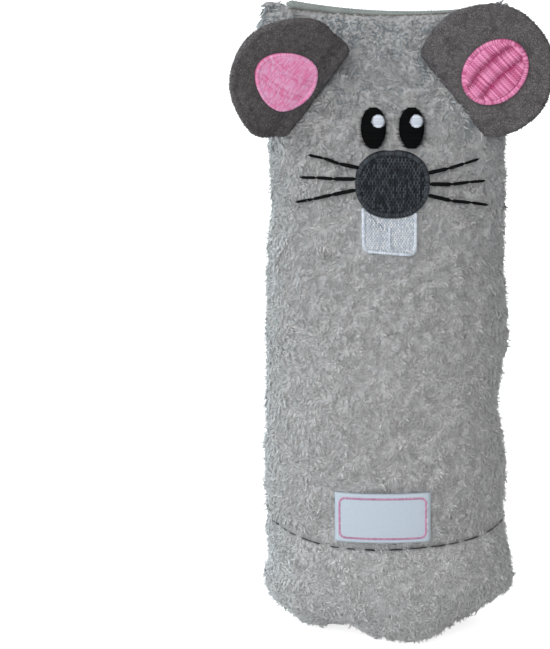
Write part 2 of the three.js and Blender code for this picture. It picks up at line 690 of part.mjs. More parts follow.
const labelFront = (across, up) => labelPoint(across, up, CLEARANCE + LABEL_THICKNESS);
const labelBack = (across, up) => labelPoint(across, up, CLEARANCE);
const labelColumns = 16;
const labelRows = 6;
addPiece(mouse, "label", sheetSolid(labelColumns, labelRows, labelFront, labelBack), labelWeave);

const stitchLift = 2 * CLEARANCE + LABEL_THICKNESS + LABEL_STITCH_DIAMETER / 2;
const stitchSteps = 4;
for (const [name, side] of [
  ["left", -1],
  ["right", 1],
]) {
  const x = LABEL_OFFSET + side * (LABEL_WIDTH / 2 - LABEL_STITCH_INSET);
  const points = [];
  for (let stop = 0; stop <= stitchSteps; stop += 1) {
    const z = labelHeight + (stop / stitchSteps - 0.5) * LABEL_STITCH_LENGTH;
    points.push(onFront(x, z, stitchLift));
  }
  const stitching = threadSolid(points, LABEL_STITCH_DIAMETER, stitchSteps);
  addPiece(mouse, "label_" + name + "_stitching", stitching, whiteThread);
}

// Ears: each turns about its sewn edge. Local X leads out to the tip, Y along the edge and Z forward.
const earRadius = EAR_WIDTH / 2;
const earMiddle = EAR_LENGTH - earRadius;
const earSeamHalf = Math.sqrt(earRadius ** 2 - earMiddle ** 2);
const earHalfThickness = EAR_CLOTH + CLEARANCE / 2;
const earSeamHeight = BODY_HEIGHT - EAR_SEAM_DROP;
const seamLean = THREE.MathUtils.degToRad(EAR_SEAM_LEAN);

// The sewn edge lies this far in front of the body's middle: it clears the front panel all along
function earSeamDepth() {
  const samples = 8;
  let nearest = 0;
  for (let sample = -samples; sample <= samples; sample += 1) {
    const along = (sample / samples) * earSeamHalf;
    const x = EAR_SEAM_X - along * Math.cos(seamLean);
    nearest = Math.min(nearest, frontFace(x, earSeamHeight + along * Math.sin(seamLean)));
  }
  return nearest - earHalfThickness - CLEARANCE;
}

// Rim of the ear: a circle cut by the straight sewn edge
function earRim(angle) {
  const outward = Math.cos(angle);
  const toSeam = outward < 0 ? earMiddle / -outward : Infinity;
  const reach = Math.min(earRadius, toSeam);
  return new THREE.Vector2(reach * outward, reach * Math.sin(angle));
}

// Point of the ear's middle surface: its sides curl forward by the cup
function earPoint(outward, along, cup, lift) {
  const rise = THREE.MathUtils.smoothstep(outward, 0, earRadius);
  const curl = cup * (along / earRadius) ** 2 * rise;
  const drawnIn = 1 - (2 / 3) * (curl / earRadius) ** 2;
  return new THREE.Vector3(outward, along * drawnIn, curl + lift);
}

function earLayer(cup, backLift, frontLift) {
  const place = (angle, out, lift) => {
    const rim = earRim(angle).multiplyScalar(out);
    return earPoint(earMiddle + rim.x, rim.y, cup, lift);
  };
  const front = (angle, out) => place(angle, out, frontLift);
  const back = (angle, out) => place(angle, out, backLift);
  return padSolid(EAR_SEGMENTS, EAR_RINGS, front, back);
}

function earPatch(side, cup) {
  const rimAt = ellipseRim(EAR_PATCH_LENGTH, EAR_PATCH_WIDTH);
  const base = earHalfThickness + CLEARANCE;
  const place = (angle, out, raise) => {
    const rim = rimAt(angle).multiplyScalar(out);
    return earPoint(EAR_PATCH_SETBACK + rim.x, rim.y - side * EAR_PATCH_SHIFT, cup, base + raise);
  };
  const front = (angle, out) => {
    const swell = EMBROIDERY_EDGE + (1 - EMBROIDERY_EDGE) * (1 - out ** 2);
    return place(angle, out, EMBROIDERY_THICKNESS * swell);
  };
  const back = (angle, out) => place(angle, out, 0);
  return padSolid(PAD_SEGMENTS, PAD_RINGS, front, back);
}

function addEar(name, side, tilt, cup) {
  const outward = new THREE.Vector3(side * Math.sin(seamLean), 0, Math.cos(seamLean));
  const forward = new THREE.Vector3(0, -1, 0);
  const along = new THREE.Vector3().crossVectors(forward, outward);
  const seat = new THREE.Group();
  seat.position.set(side * EAR_SEAM_X, earSeamDepth(), earSeamHeight);
  seat.quaternion.setFromRotationMatrix(new THREE.Matrix4().makeBasis(outward, along, forward));
  const flap = new THREE.Group();
  flap.rotation.y = -THREE.MathUtils.degToRad(tilt);
  addPiece(flap, name + "_ear_front", earLayer(cup, CLEARANCE / 2, earHalfThickness), earCloth);
  addPiece(flap, name + "_ear_back", earLayer(cup, -earHalfThickness, -CLEARANCE / 2), earCloth);
  addPiece(flap, name + "_ear_patch", earPatch(side, cup), pinkThread);
  seat.add(flap);
  mouse.add(seat);
}

addEar("left", -1, LEFT_EAR_TILT, LEFT_EAR_CUP);
addEar("right", 1, RIGHT_EAR_TILT, RIGHT_EAR_CUP);

export default mouse;
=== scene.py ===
# %% [markdown]
# # A catnip mouse in grey plush
# The toy is a stuffed tube of soft plush, sewn flat along its top edge like a pillow and gathered into a
# round puffy base. The face, the teeth and the inner ears are embroidered, the ears are flaps of brushed
# cloth, and a woven label sits above the base seam.
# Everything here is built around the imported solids: they give the sizes, and this file gives the looks.

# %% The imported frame
import json
import math

import bmesh
import bpy
import numpy as np
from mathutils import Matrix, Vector, noise
from mathutils.bvhtree import BVHTree


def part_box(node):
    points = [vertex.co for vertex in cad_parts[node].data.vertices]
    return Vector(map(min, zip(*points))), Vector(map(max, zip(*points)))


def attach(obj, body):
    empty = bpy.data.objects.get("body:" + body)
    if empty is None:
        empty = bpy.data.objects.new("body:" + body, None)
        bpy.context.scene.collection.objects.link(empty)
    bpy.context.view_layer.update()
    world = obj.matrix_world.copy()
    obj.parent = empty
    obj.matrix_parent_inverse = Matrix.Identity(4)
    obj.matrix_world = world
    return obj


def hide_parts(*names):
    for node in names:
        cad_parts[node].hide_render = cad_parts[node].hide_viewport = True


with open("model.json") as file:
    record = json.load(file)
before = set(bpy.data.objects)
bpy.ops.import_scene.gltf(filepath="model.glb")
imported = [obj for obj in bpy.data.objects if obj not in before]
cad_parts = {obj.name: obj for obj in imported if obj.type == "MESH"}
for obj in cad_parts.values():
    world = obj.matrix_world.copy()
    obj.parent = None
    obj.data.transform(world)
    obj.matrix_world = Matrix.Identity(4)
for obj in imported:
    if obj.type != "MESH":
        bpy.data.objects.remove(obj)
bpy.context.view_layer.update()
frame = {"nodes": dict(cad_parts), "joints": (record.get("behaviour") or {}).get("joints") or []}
scene = bpy.context.scene
MM = 0.001
SIDES = ("left", "right")


# %% [markdown]
# ## Small helpers
# A few short functions build objects from points, run a node tree on an object and keep its mesh, and
# finish a piece and attach it to the body it moves with. Colours are written as picture values, 0 to 255.

# %% Helpers for numbers and colours
def mix(low, high, share):
    """The value at a share of the way from one value to another."""
    return low + (high - low) * share


def signed_power(value, power):
    """A power of a value's size, with the value's own sign."""
    return math.copysign(abs(value) ** power, value)


def round_angles(count):
    """Angles at even steps round a full turn."""
    return [2 * math.pi * step / count for step in range(count)]


def srgb(colour):
    """A colour given as picture values, carried by the standard curve to the linear colour of a shader."""
    linear = []
    for value in colour:
        share = value / 255
        linear.append(share / 12.92 if share <= 0.04045 else ((share + 0.055) / 1.055) ** 2.4)
    return (*linear, 1.0)


# %% Helpers for objects and meshes
def object_with(name, mesh):
    """A new object in the scene that holds a mesh."""
    mesh.name = name
    made = bpy.data.objects.new(name, mesh)
    scene.collection.objects.link(made)
    return made


def object_from(name, points, faces=(), edges=()):
    """A new object in the scene, made from plain lists of points and faces or edges."""
    mesh = bpy.data.meshes.new(name)
    mesh.from_pydata([tuple(point) for point in points], edges, faces)
    return object_with(name, mesh)


def current_mesh(piece):
    """A copy of an object's mesh with its modifiers applied."""
    graph = bpy.context.evaluated_depsgraph_get()
    return bpy.data.meshes.new_from_object(
        piece.evaluated_get(graph), preserve_all_data_layers=True, depsgraph=graph
    )


def apply_modifiers(piece):
    """Replace an object's mesh by what its modifiers make of it."""
    mesh = current_mesh(piece)
    piece.modifiers.clear()
    piece.data = mesh
    return piece


def subdivide(piece):
    """Smooth an object by one subdivision."""
    finer = piece.modifiers.new("smooth", "SUBSURF")
    finer.levels = 1
    finer.render_levels = 1
    return apply_modifiers(piece)


def face_outwards(piece):
    """Point the faces of a closed piece outwards."""
    work = bmesh.new()
    work.from_mesh(piece.data)
    bmesh.ops.recalc_face_normals(work, faces=work.faces)
    work.to_mesh(piece.data)
    work.free()
    return piece


def some_faces(name, piece, wanted):
    """The faces of an object that pass a test, as a new open surface."""
    faces = [face for face in piece.data.polygons if wanted(face)]
    used = sorted({vertex for face in faces for vertex in face.vertices})
    number = {vertex: i for i, vertex in enumerate(used)}
    points = [piece.data.vertices[vertex].co for vertex in used]
    return object_from(name, points, [[number[vertex] for vertex in face.vertices] for face in faces])


def joined(name, pieces):
    """One helper object with the faces of several pieces."""
    points = []
    faces = []
    for piece in pieces:
        start = len(points)
        points += [vertex.co.copy() for vertex in piece.data.vertices]
        faces += [[start + vertex for vertex in face.vertices] for face in piece.data.polygons]
    return object_from(name, points, faces)


def store(piece, name, values, kind="FLOAT"):
    """Keep a value for each point of an object under a name."""
    field = "vector" if kind == "FLOAT_VECTOR" else "value"
    piece.data.attributes.new(name, kind, "POINT").data.foreach_set(field, np.ravel(values))


def triangles(mesh):
    """How many triangles a mesh has."""
    return sum(len(face.vertices) - 2 for face in mesh.polygons)


def discard(piece):
    """Remove a helper object and its mesh."""
    mesh = piece.data
    bpy.data.objects.remove(piece)
    bpy.data.meshes.remove(mesh)


# %% Finishing a piece
finishes = {}  # every material, by the name of its look


def dress(piece, body, look, nodes=()):
    """Finish a piece: give it its look, attach it to the body it moves with and hide the solids it stands
    for.
    """
    if finishes[look] not in list(piece.data.materials):
        piece.data.materials.clear()
        piece.data.materials.append(finishes[look])
    piece.data.shade_smooth()
    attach(piece, body)
    if nodes:
        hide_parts(*nodes)
    return piece


# %% Helpers for node trees
def plug(tree, value, socket):
    """Link a node's output to a socket, or set the socket to a plain value."""
    if isinstance(value, bpy.types.NodeSocket):
        tree.links.new(value, socket)
    else:
        socket.default_value = value


def add(tree, kind, inputs=None, **settings):
    """A new node with its settings, and with its inputs linked or set by name or number."""
    made = tree.nodes.new(kind)
    for setting, value in settings.items():
        setattr(made, setting, value)
    for socket, value in (inputs or {}).items():
        plug(tree, value, made.inputs[socket])
    return made


def calculate(tree, operation, first, second=0.0, third=0.0):
    """The result of one Math node."""
    return add(tree, "ShaderNodeMath", {0: first, 1: second, 2: third}, operation=operation).outputs[0]


def times(tree, first, second):
    """The product of two values."""
    return calculate(tree, "MULTIPLY", first, second)


def plus(tree, first, second):
    """The sum of two values."""
    return calculate(tree, "ADD", first, second)


def times_plus(tree, value, factor, more):
    """A value times a factor, plus another value."""
    return calculate(tree, "MULTIPLY_ADD", value, factor, more)


def remap(tree, value, low, high, to_low=0.0, to_high=1.0):
    """A value carried from one range to another, and held inside it."""
    ranges = {"Value": value, "From Min": low, "From Max": high, "To Min": to_low, "To Max": to_high}
    return add(tree, "ShaderNodeMapRange", ranges).outputs["Result"]


def cloud(tree, place, scale, detail):
    """The value of a noise texture, about one half on average."""
    grain = {"Vector": place, "Scale": scale, "Detail": detail}
    return add(tree, "ShaderNodeTexNoise", grain).outputs["Fac"]


def axes_of(tree, vector):
    """The X, Y and Z of a vector."""
    return add(tree, "ShaderNodeSeparateXYZ", {0: vector}).outputs


# %% Helpers for whole node trees
def sockets(kind, *labels):
    """Sockets of one kind, for the inputs or outputs of a tree."""
    return [(label, f"NodeSocket{kind}") for label in labels]


SHAPE = sockets("Geometry", "Geometry")


def start_tree(name, inputs, kind="GeometryNodeTree", outputs=SHAPE):
    """A node tree with named inputs and outputs. It returns the tree, its inputs and its outputs."""
    tree = bpy.data.node_groups.new(name, kind)
    for label, socket_type in inputs:
        tree.interface.new_socket(label, in_out="INPUT", socket_type=socket_type)
    for label, socket_type in outputs:
        tree.interface.new_socket(label, in_out="OUTPUT", socket_type=socket_type)
    source = tree.nodes.new("NodeGroupInput")
    target = tree.nodes.new("NodeGroupOutput")
    return tree, source.outputs, target.inputs


def grow(piece, tree, values, spare):
    """Run a geometry node tree on an object. The mesh that it makes drops the spare attributes."""
    modifier = piece.modifiers.new(tree.name, "NODES")
    modifier.node_group = tree
    for item in tree.interface.items_tree:
        if item.in_out == "INPUT" and item.name in values:
            modifier[item.identifier] = values[item.name]
    mesh = current_mesh(piece)
    piece.modifiers.remove(modifier)
    for name in spare:
        if name in mesh.attributes:
            mesh.attributes.remove(mesh.attributes[name])
    return mesh


# %% A plain material to start from
PLAIN_SHINE = 0.3


def start_material(name, roughness, sheen=0.0, shine=PLAIN_SHINE):
    """A new material with a plain roughness, sheen and shine. It returns the material and its shader."""
    material = bpy.data.materials.new(name)
    material.use_nodes = True
    shader = material.node_tree.nodes["Principled BSDF"]
    shader.inputs["Roughness"].default_value = roughness
    shader.inputs["Sheen Weight"].default_value = sheen
    shader.inputs["Specular IOR Level"].default_value = shine
    return material, shader


# %% [markdown]
# ## Camera, light and floor
# The photograph looks slightly down on the toy through a long lens, with the toy right of the middle.
# Turning the camera would also turn the perspective, so a lens shift moves the picture sideways instead.
# The light is a wide soft sun from the left front, a weak cool one from the left side, one from behind
# and an even sky, so the shade on the plush stays soft.

# %% The camera
PHOTO_WIDTH = 550
PHOTO_HEIGHT = 649
MIDDLE_COLUMN = 387  # the photograph's column that the toy's middle line falls on
CAMERA_DISTANCE = 800 * MM
CAMERA_ELEVATION = math.radians(14)
CAMERA_AIM = Vector((0, 0, 121 * MM))
LENS = 116.5

scene.view_settings.view_transform = "Standard"
camera = bpy.data.cameras.new("photo_camera")
camera.lens = LENS
camera.shift_x = (PHOTO_WIDTH / 2 - MIDDLE_COLUMN) / PHOTO_HEIGHT
camera_object = bpy.data.objects.new("photo_camera", camera)
toward_camera = Vector((0, -math.cos(CAMERA_ELEVATION), math.sin(CAMERA_ELEVATION)))
camera_object.location = CAMERA_AIM + toward_camera * CAMERA_DISTANCE
camera_object.rotation_euler = (math.pi / 2 - CAMERA_ELEVATION, 0, 0)
scene.collection.objects.link(camera_object)
scene.camera = camera_object
print("lens shift:", round(camera.shift_x, 4))

# %% The suns
# Each sun is the direction that it shines from, its strength, its spread in degrees and its colour.
SUNS = {
    "key_sun": ((-0.46, -0.85, 0.25), 2.8, 90, (1.0, 0.99, 0.985)),
    "side_sun": ((-1.0, 0.2, 0.3), 0.75, 80, (0.3, 0.8, 1.0)),
    "back_sun": ((-0.2, 1.0, 0.3), 1.0, 60, (1.0, 1.0, 1.0)),
}
for name, (direction, strength, spread, colour) in SUNS.items():
    lamp = bpy.data.lights.new(name, "SUN")
    lamp.energy = strength
    lamp.angle = math.radians(spread)
    lamp.color = colour
    holder = bpy.data.objects.new(name, lamp)
    holder.rotation_euler = Vector(direction).to_track_quat("Z", "Y").to_euler()
    scene.collection.objects.link(holder)
print("suns:", len(SUNS))

# %% The sky
WHITE = (1, 1, 1, 1)
SKY_LIGHT = 0.32  # how strongly the white sky lights the toy: the camera sees it at 1.0


def seen_directly(tree):
    """One where a ray comes from the camera, or through a shine or glass, and nought elsewhere."""
    path = add(tree, "ShaderNodeLightPath").outputs
    shown = calculate(tree, "MAXIMUM", path["Is Camera Ray"], path["Is Glossy Ray"])
    return calculate(tree, "MAXIMUM", shown, path["Is Transmission Ray"])


world = bpy.data.worlds.new("studio")
world.use_nodes = True
scene.world = world
sky_tree = world.node_tree
sky = sky_tree.nodes["Background"]
sky.inputs["Color"].default_value = WHITE
sky_level = remap(sky_tree, seen_directly(sky_tree), 0.0, 1.0, SKY_LIGHT, 1.0)
plug(sky_tree, sky_level, sky.inputs["Strength"])
print("sky light:", SKY_LIGHT)

# %% The floor
FLOOR_SIZE = 8.0
FLOOR_GREY = 0.82
FLOOR_ROUGHNESS = 0.9
FLOOR_WHITENING = 0.74  # added where the floor is seen, so that its pale grey reads as white paper

bpy.ops.mesh.primitive_plane_add(size=FLOOR_SIZE)
floor = bpy.context.object
floor.name = "floor"
paper, paper_shader = start_material("floor_paper", FLOOR_ROUGHNESS, shine=0.0)
paper_shader.inputs["Base Color"].default_value = (FLOOR_GREY, FLOOR_GREY, FLOOR_GREY, 1)
paper_shader.inputs["Emission Color"].default_value = WHITE
paper_glow = times(paper.node_tree, seen_directly(paper.node_tree), FLOOR_WHITENING)
plug(paper.node_tree, paper_glow, paper_shader.inputs["Emission Strength"])
floor.data.materials.append(paper)
print("floor:", FLOOR_SIZE, "m wide")

# %% [markdown]
# ## The stuffed skin
# The plush backing is a loft: superellipse sections that are full at the base and flatten to a straight
# sewn edge at the top. A loft alone looks hard, and a sculpted form would be guesswork, so it is stuffed:
# it is cut a little wide, its seams are pinned, and a short cloth simulation with inside pressure swells
# it. Listed lumps then give the dents that the photograph shows, and a few like them behind, where it
# shows nothing. The pile grows on this skin.

# %% Sizes of the skin
PILE_DEPTH = 1.7 * MM
EASE = 1.2 * MM  # how much wider the skin is cut, because stuffing rounds it and draws its sides in
ROUNDNESS = 2.2
TAPER_START = 2.2
TAPER_FULLNESS = 0.7
TOP_THICKNESS = 3.0 * MM
TOP_WIDTH = 91 * MM
TOP_CORNER_RISE = 4 * MM
TOP_EDGE_DROP = 1.2 * MM  # from the panel's highest place to the skin's corners
SEAM_PULL = 1.6 * MM  # how far the base seam draws the skin in
SEAM_REACH = 16 * MM
SEAM_GAP = 0.15 * MM  # from a packed panel to the middle of the seam
SWELL_HEIGHT = 18 * MM
BASE_ROUNDNESS = 1.6
BASE_FULLNESS = 0.7
FOOT_WIDTH = 52 * MM
FOOT_DEPTH = 36 * MM
FOOT_Z = 0.7 * MM

body_low, body_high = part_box("front_panel")
base_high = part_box("base_band")[1]
SEAM_Z = body_low.z - SEAM_GAP
SEAM_SIDE_RISE = base_high.z + SEAM_GAP - SEAM_Z
CORNER_Z = body_high.z - TOP_EDGE_DROP
BODY_HALF = np.array([body_high.x, -body_low.y]) - PILE_DEPTH + EASE
SWELL_HALF = np.array([base_high.x, base_high.y]) - PILE_DEPTH + EASE
FOOT_HALF = np.array([FOOT_WIDTH, FOOT_DEPTH]) / 2 - PILE_DEPTH / 2
TOP_HALF = np.array([TOP_WIDTH / 2 - PILE_DEPTH, TOP_THICKNESS / 2])
SEAM_HALF = BODY_HALF - SEAM_PULL
print("skin half sizes in mm:", np.round(BODY_HALF / MM, 1), np.round(SWELL_HALF / MM, 1))


# %% The sections of the skin
def section_point(angle):
    """A point of the unit superellipse, from the middle of the front and turning toward the right side."""
    power = 2 / ROUNDNESS
    return signed_power(math.sin(angle), power), -signed_power(math.cos(angle), power)


def top_height(across):
    """The height of the sewn top edge, which rises to its two corners."""
    return CORNER_Z - TOP_CORNER_RISE * (1 - across * across)


def seam_height(across):
    """The height of the base seam, whose sides stand above its front and back."""
    return SEAM_Z + SEAM_SIDE_RISE * across * across


def body_half(share):
    """Half the width and depth of the body, at a share of the way from the base seam to the top."""
    swell = (1 - share**TAPER_START) ** TAPER_FULLNESS
    pull = max(1 - share * (CORNER_Z - SEAM_Z) / SEAM_REACH, 0) ** 2
    width = mix(BODY_HALF[0], TOP_HALF[0], share)
    depth = mix(TOP_HALF[1], BODY_HALF[1], swell)
    return np.array([width, depth]) - (BODY_HALF - SEAM_HALF) * pull


def base_half(height):
    """Half the width and depth of the base, at a height between the foot and the seam."""
    if height < SWELL_HEIGHT:
        lean = 1 - height / SWELL_HEIGHT
        return mix(FOOT_HALF, SWELL_HALF, (1 - lean**BASE_ROUNDNESS) ** (1 / BASE_ROUNDNESS))
    rise = (height - SWELL_HEIGHT) / (SEAM_Z - SWELL_HEIGHT)
    return mix(SEAM_HALF, SWELL_HALF, (1 - rise * rise) ** BASE_FULLNESS)


# %% The rings of the skin
COLUMNS = 100
BODY_ROWS = 54
BASE_ROWS = 12
BASE_CROWDING = 1.15  # the rings of the base lie closer toward the foot, where it curves most
FOOT_SCALES = (0.2, 0.4, 0.6, 0.8)
TOP_FOLD = ((0.6, 0.6 * MM), (0.05, 0.9 * MM))  # how thick and how high the skin is where it closes


def skin_rings():
    """Every ring as its half sizes, a height for each share across, and the panel that starts above it."""
    rings = []
    for scale in FOOT_SCALES:
        rings.append((FOOT_HALF * scale, lambda across: FOOT_Z, "foot"))
    for step in range(BASE_ROWS):
        height = mix(FOOT_Z, SEAM_Z, (step / BASE_ROWS) ** BASE_CROWDING)
        rings.append((base_half(height), lambda across, z=height: z / SEAM_Z * seam_height(across), "base"))
    for step in range(BODY_ROWS + 1):
        share = step / BODY_ROWS
        rise = lambda across, s=share: seam_height(across) * (1 - s) + top_height(across) * s
        rings.append((body_half(share), rise, "body"))
    for thin, lift in TOP_FOLD:
        half = TOP_HALF * np.array([1, thin])
        rings.append((half, lambda across, up=lift: top_height(across) + up, "body"))
    return rings


rings = skin_rings()
print("rings:", len(rings))

# %% The skin as one mesh
FOOT, BASE, FRONT, BACK = range(4)
skin_points = [Vector((0, 0, FOOT_Z))]
for half, rise, _ in rings:
    for angle in round_angles(COLUMNS):
        across, back = section_point(angle)
        skin_points.append(Vector((across * half[0], back * half[1], rise(across))))


def ring_vertex(ring, column):
    """The number of a vertex in the skin: the pole of the foot comes first."""
    return 1 + ring * COLUMNS + column % COLUMNS


skin_faces = [(0, ring_vertex(0, column + 1), ring_vertex(0, column)) for column in range(COLUMNS)]
skin_panels = [FOOT] * COLUMNS
for ring in range(len(rings) - 1):
    for column in range(COLUMNS):
        corners = ((ring, column), (ring, column + 1), (ring + 1, column + 1), (ring + 1, column))
        skin_faces.append([ring_vertex(*corner) for corner in corners])
        in_front = column < COLUMNS / 4 or column >= 3 * COLUMNS / 4
        panels = {"foot": FOOT, "base": BASE, "body": FRONT if in_front else BACK}
        skin_panels.append(panels[rings[ring][2]])

skin = object_from("skin", skin_points, skin_faces)
panel_of = skin.data.attributes.new("panel", "INT", "FACE")
panel_of.data.foreach_set("value", skin_panels)
print("skin:", len(skin_points), "points,", len(skin_faces), "faces")

# %% Stuff the skin
PRESSURE = 40.0
POINT_MASS = 0.0015  # in kg: the skin is a fine mesh of light cloth
STRETCH = 6.0  # how hard the cloth resists being stretched
STUFFING_FRAMES = 20
MOST_SWELL = 2.6 * MM
LEAST_SWELL = 1e-9  # keeps a point that didn't move from being divided by nought
TOP_PINNED = 5  # rings

seam_ring = next(i for i, ring in enumerate(rings) if ring[2] == "body")
pinned_rings = [*range(len(FOOT_SCALES) + 1), seam_ring, *range(len(rings) - TOP_PINNED, len(rings))]
pinned = [0] + [ring_vertex(ring, column) for ring in pinned_rings for column in range(COLUMNS)]
sewn = skin.vertex_groups.new(name="sewn")
sewn.add(pinned, 1.0, "REPLACE")


def stuff(piece):
    """Swell a piece with inside pressure and return how far each point moved, capped."""
    cloth = piece.modifiers.new("stuffing", "CLOTH")
    cloth.settings.use_pressure = True
    cloth.settings.uniform_pressure_force = PRESSURE
    cloth.settings.mass = POINT_MASS
    cloth.settings.tension_stiffness = STRETCH
    cloth.settings.vertex_group_mass = sewn.name
    cloth.settings.effector_weights.gravity = 0
    cloth.point_cache.frame_start = 1
    cloth.point_cache.frame_end = STUFFING_FRAMES
    for moment in range(1, STUFFING_FRAMES + 1):
        scene.frame_set(moment)
    swollen = current_mesh(piece)
    moved = [after.co - before.co for before, after in zip(piece.data.vertices, swollen.vertices)]
    piece.modifiers.remove(cloth)
    scene.frame_set(1)
    return [step * min(1.0, MOST_SWELL / max(step.length, LEAST_SWELL)) for step in moved]


swell = stuff(skin)
for vertex, step in zip(skin.data.vertices, swell):
    vertex.co += step
lengths = [step.length / MM for step in swell]
print("swell in mm: most", round(max(lengths), 2), "mean", round(float(np.mean(lengths)), 2))

# %% Dents and lumps of the stuffing
# Each row is a place, how far the lump reaches and how far it pushes the skin out or in, all in mm.
# The last three are on the back.
LUMPS = (
    ((46, 0, 91), 20, -3.4),
    ((46, 0, 150), 13, -1.2),
    ((-46, 0, 169), 14, -1.3),
    ((-46, 0, 70), 30, 1.0),
    ((-46, 0, 125), 30, 0.8),
    ((46, 0, 118), 14, 0.9),
    ((-46, 0, 228), 13, 4.5),
    ((49, -4, 19), 11, 1.3),
    ((48, -2, 32), 9, -1.5),
    ((-49, -4, 19), 9, -0.5),
    ((-46, 0, 48), 9, 1.5),
    ((-47, -14, 30), 8, -2.2),
    ((-48, -3, 30), 8, -2.2),
    ((-48, 8, 30), 9, -2.6),
    ((-19, -19, 2), 13, -6.4),
    ((12, -22, 3), 11, 2.2),
    ((30, -17, 4), 12, -4.6),
    ((39, -9, 7), 12, -4.0),
    ((-38, -10, 7), 11, -1.6),
    ((-18, -28, 100), 24, 0.9),
    ((16, -28, 84), 20, -0.8),
    ((20, -27, 128), 22, 0.9),
    ((0, 28, 150), 30, -1.0),
    ((18, 28, 96), 24, 1.0),
    ((-20, 28, 62), 20, -0.8),
)
LUMP_FALLOFF = 1.5
TUFT_WIDTH = 3.7 * MM
TUFT_RELIEF = 1.15 * MM


def lump_push(place):
    """How far the listed lumps move the skin at a place."""
    push = 0.0
    for middle, reach, height in LUMPS:
        away = (place - Vector(middle) * MM).length / (reach * MM)
        push += height * MM * math.exp(-away * away * LUMP_FALLOFF)
    return push


def push_out(piece, distance):
    """Move each point of a piece along its normal by a distance that depends on the place."""
    normals = [vertex.normal.copy() for vertex in piece.data.vertices]
    for vertex, normal in zip(piece.data.vertices, normals):
        vertex.co += normal * distance(vertex.co)
        vertex.co.z = max(vertex.co.z, FOOT_Z)


push_out(skin, lump_push)
subdivide(skin)
skin_tree = BVHTree.FromPolygons(
    [vertex.co for vertex in skin.data.vertices], [tuple(face.vertices) for face in skin.data.polygons]
)
push_out(skin, lambda place: TUFT_RELIEF * noise.noise(place / TUFT_WIDTH))
print("smoothed skin:", len(skin.data.polygons), "faces")


# %% [markdown]
# ## Shared finishes
# The cloths are fuzzy, the threads are twisted, and the label is woven. Each effect serves several
# materials, so each is a node group that takes two tones. A picture of cloth could do the same, but a group
# keeps its grain at any size. A thread or a strand carries a map in which ten columns stand for ten tones
# and the height runs along it. All of them share that map, so a finish can read its tone and place.

# %% The fibre group
FIBRE_DETAIL = 4.0
BLOTCH_SCALE = 0.08  # of the fibres' own scale
BLOTCH_DETAIL = 2.0
BLOTCH_SHARE = 0.5
FIBRE_RANGE = (0.3, 0.7)


def start_group(name, inputs):
    """An empty shader group with two tones and other inputs, which puts out a colour and a height."""
    outputs = sockets("Color", "Colour") + sockets("Float", "Height")
    return start_tree(name, sockets("Color", "Light", "Dark") + inputs, "ShaderNodeTree", outputs)


def end_group(tree, source, target, share, height):
    """Mix the two tones of a group, and put out the colour and the height."""
    tones = {0: share, 6: source["Dark"], 7: source["Light"]}
    tree.links.new(add(tree, "ShaderNodeMix", tones, data_type="RGBA").outputs[2], target["Colour"])
    tree.links.new(height, target["Height"])
    return tree


def make_mottle():
    """Fine fibres over soft blotches, between two colours."""
    tree, source, target = start_group("fibre_mottle", sockets("Float", "Size"))
    place = add(tree, "ShaderNodeTexCoord").outputs["Object"]
    fine = cloud(tree, place, calculate(tree, "DIVIDE", 1.0, source["Size"]), FIBRE_DETAIL)
    broad = cloud(tree, place, calculate(tree, "DIVIDE", BLOTCH_SCALE, source["Size"]), BLOTCH_DETAIL)
    share = plus(tree, fine, times_plus(tree, broad, BLOTCH_SHARE, -BLOTCH_SHARE / 2))
    return end_group(tree, source, target, remap(tree, share, *FIBRE_RANGE), fine)


mottle_group = make_mottle()
print("fibre group:", len(mottle_group.nodes), "nodes")

# %% The thread group
TONES = 10
THREAD_MAP = "OFBake"
PLIES = 2
# The plies' share of the tone is painted shade between the plies and painted light on their crowns.
PLY_SHARE = 0.35  # of a thread's tone that comes from its plies: the rest is the thread's own


def make_twist():
    """Painted shade between the plies of a twisted thread, read from its own map, with a tone for each
    thread.
    """
    tree, source, target = start_group("thread_twist", sockets("Float", "Turns"))
    place = axes_of(tree, add(tree, "ShaderNodeUVMap", uv_map=THREAD_MAP).outputs["UV"])
    spread = times(tree, place["X"], float(TONES))
    around = calculate(tree, "FRACT", spread)
    tone = calculate(tree, "DIVIDE", calculate(tree, "FLOOR", spread), float(TONES - 1))
    turning = times_plus(tree, place["Y"], source["Turns"], around)
    wave = calculate(tree, "SINE", times(tree, turning, 2 * PLIES * math.pi))
    ply = times_plus(tree, wave, 0.5, 0.5)
    share = times_plus(tree, ply, PLY_SHARE, times(tree, tone, 1 - PLY_SHARE))
    return end_group(tree, source, target, share, ply)


twist_group = make_twist()
print("thread group:", len(twist_group.nodes), "nodes")

# %% The weave group
SPECK_SCALE = 900.0
SPECK_DETAIL = 3.0
# The rest of the tone follows the height of the yarns, as painted shade between them.
SPECK_SHARE = 0.5


def make_weave():
    """Two crossing sets of yarns as a height, with a colour that follows it: painted shade between the
    yarns.
    """
    inputs = sockets("Vector", "Vector") + sockets("Float", "Yarn")
    tree, source, target = start_group("plain_weave", inputs)
    place = axes_of(tree, source["Vector"])
    pitch = calculate(tree, "DIVIDE", math.pi, source["Yarn"])
    waves = [calculate(tree, "SINE", times(tree, place[axis], pitch)) for axis in ("X", "Y")]
    height = times_plus(tree, times(tree, *waves), 0.5, 0.5)
    speck = cloud(tree, source["Vector"], SPECK_SCALE, SPECK_DETAIL)
    share = times_plus(tree, speck, SPECK_SHARE, times(tree, height, 1 - SPECK_SHARE))
    return end_group(tree, source, target, share, height)


weave_group = make_weave()
print("weave group:", len(weave_group.nodes), "nodes")

# %% Materials from the groups
CLOTH_ROUGHNESS = 0.9
FIBRE_BUMP = 0.5
THREAD_TURNS = 3.0
THREAD_BUMP = 0.4
THREAD_RELIEF = 0.05 * MM
WEAVE_ROUGHNESS = 0.6
WEAVE_SHEEN = 0.1
WEAVE_BUMP = 0.35
WEAVE_RELIEF = 0.08 * MM


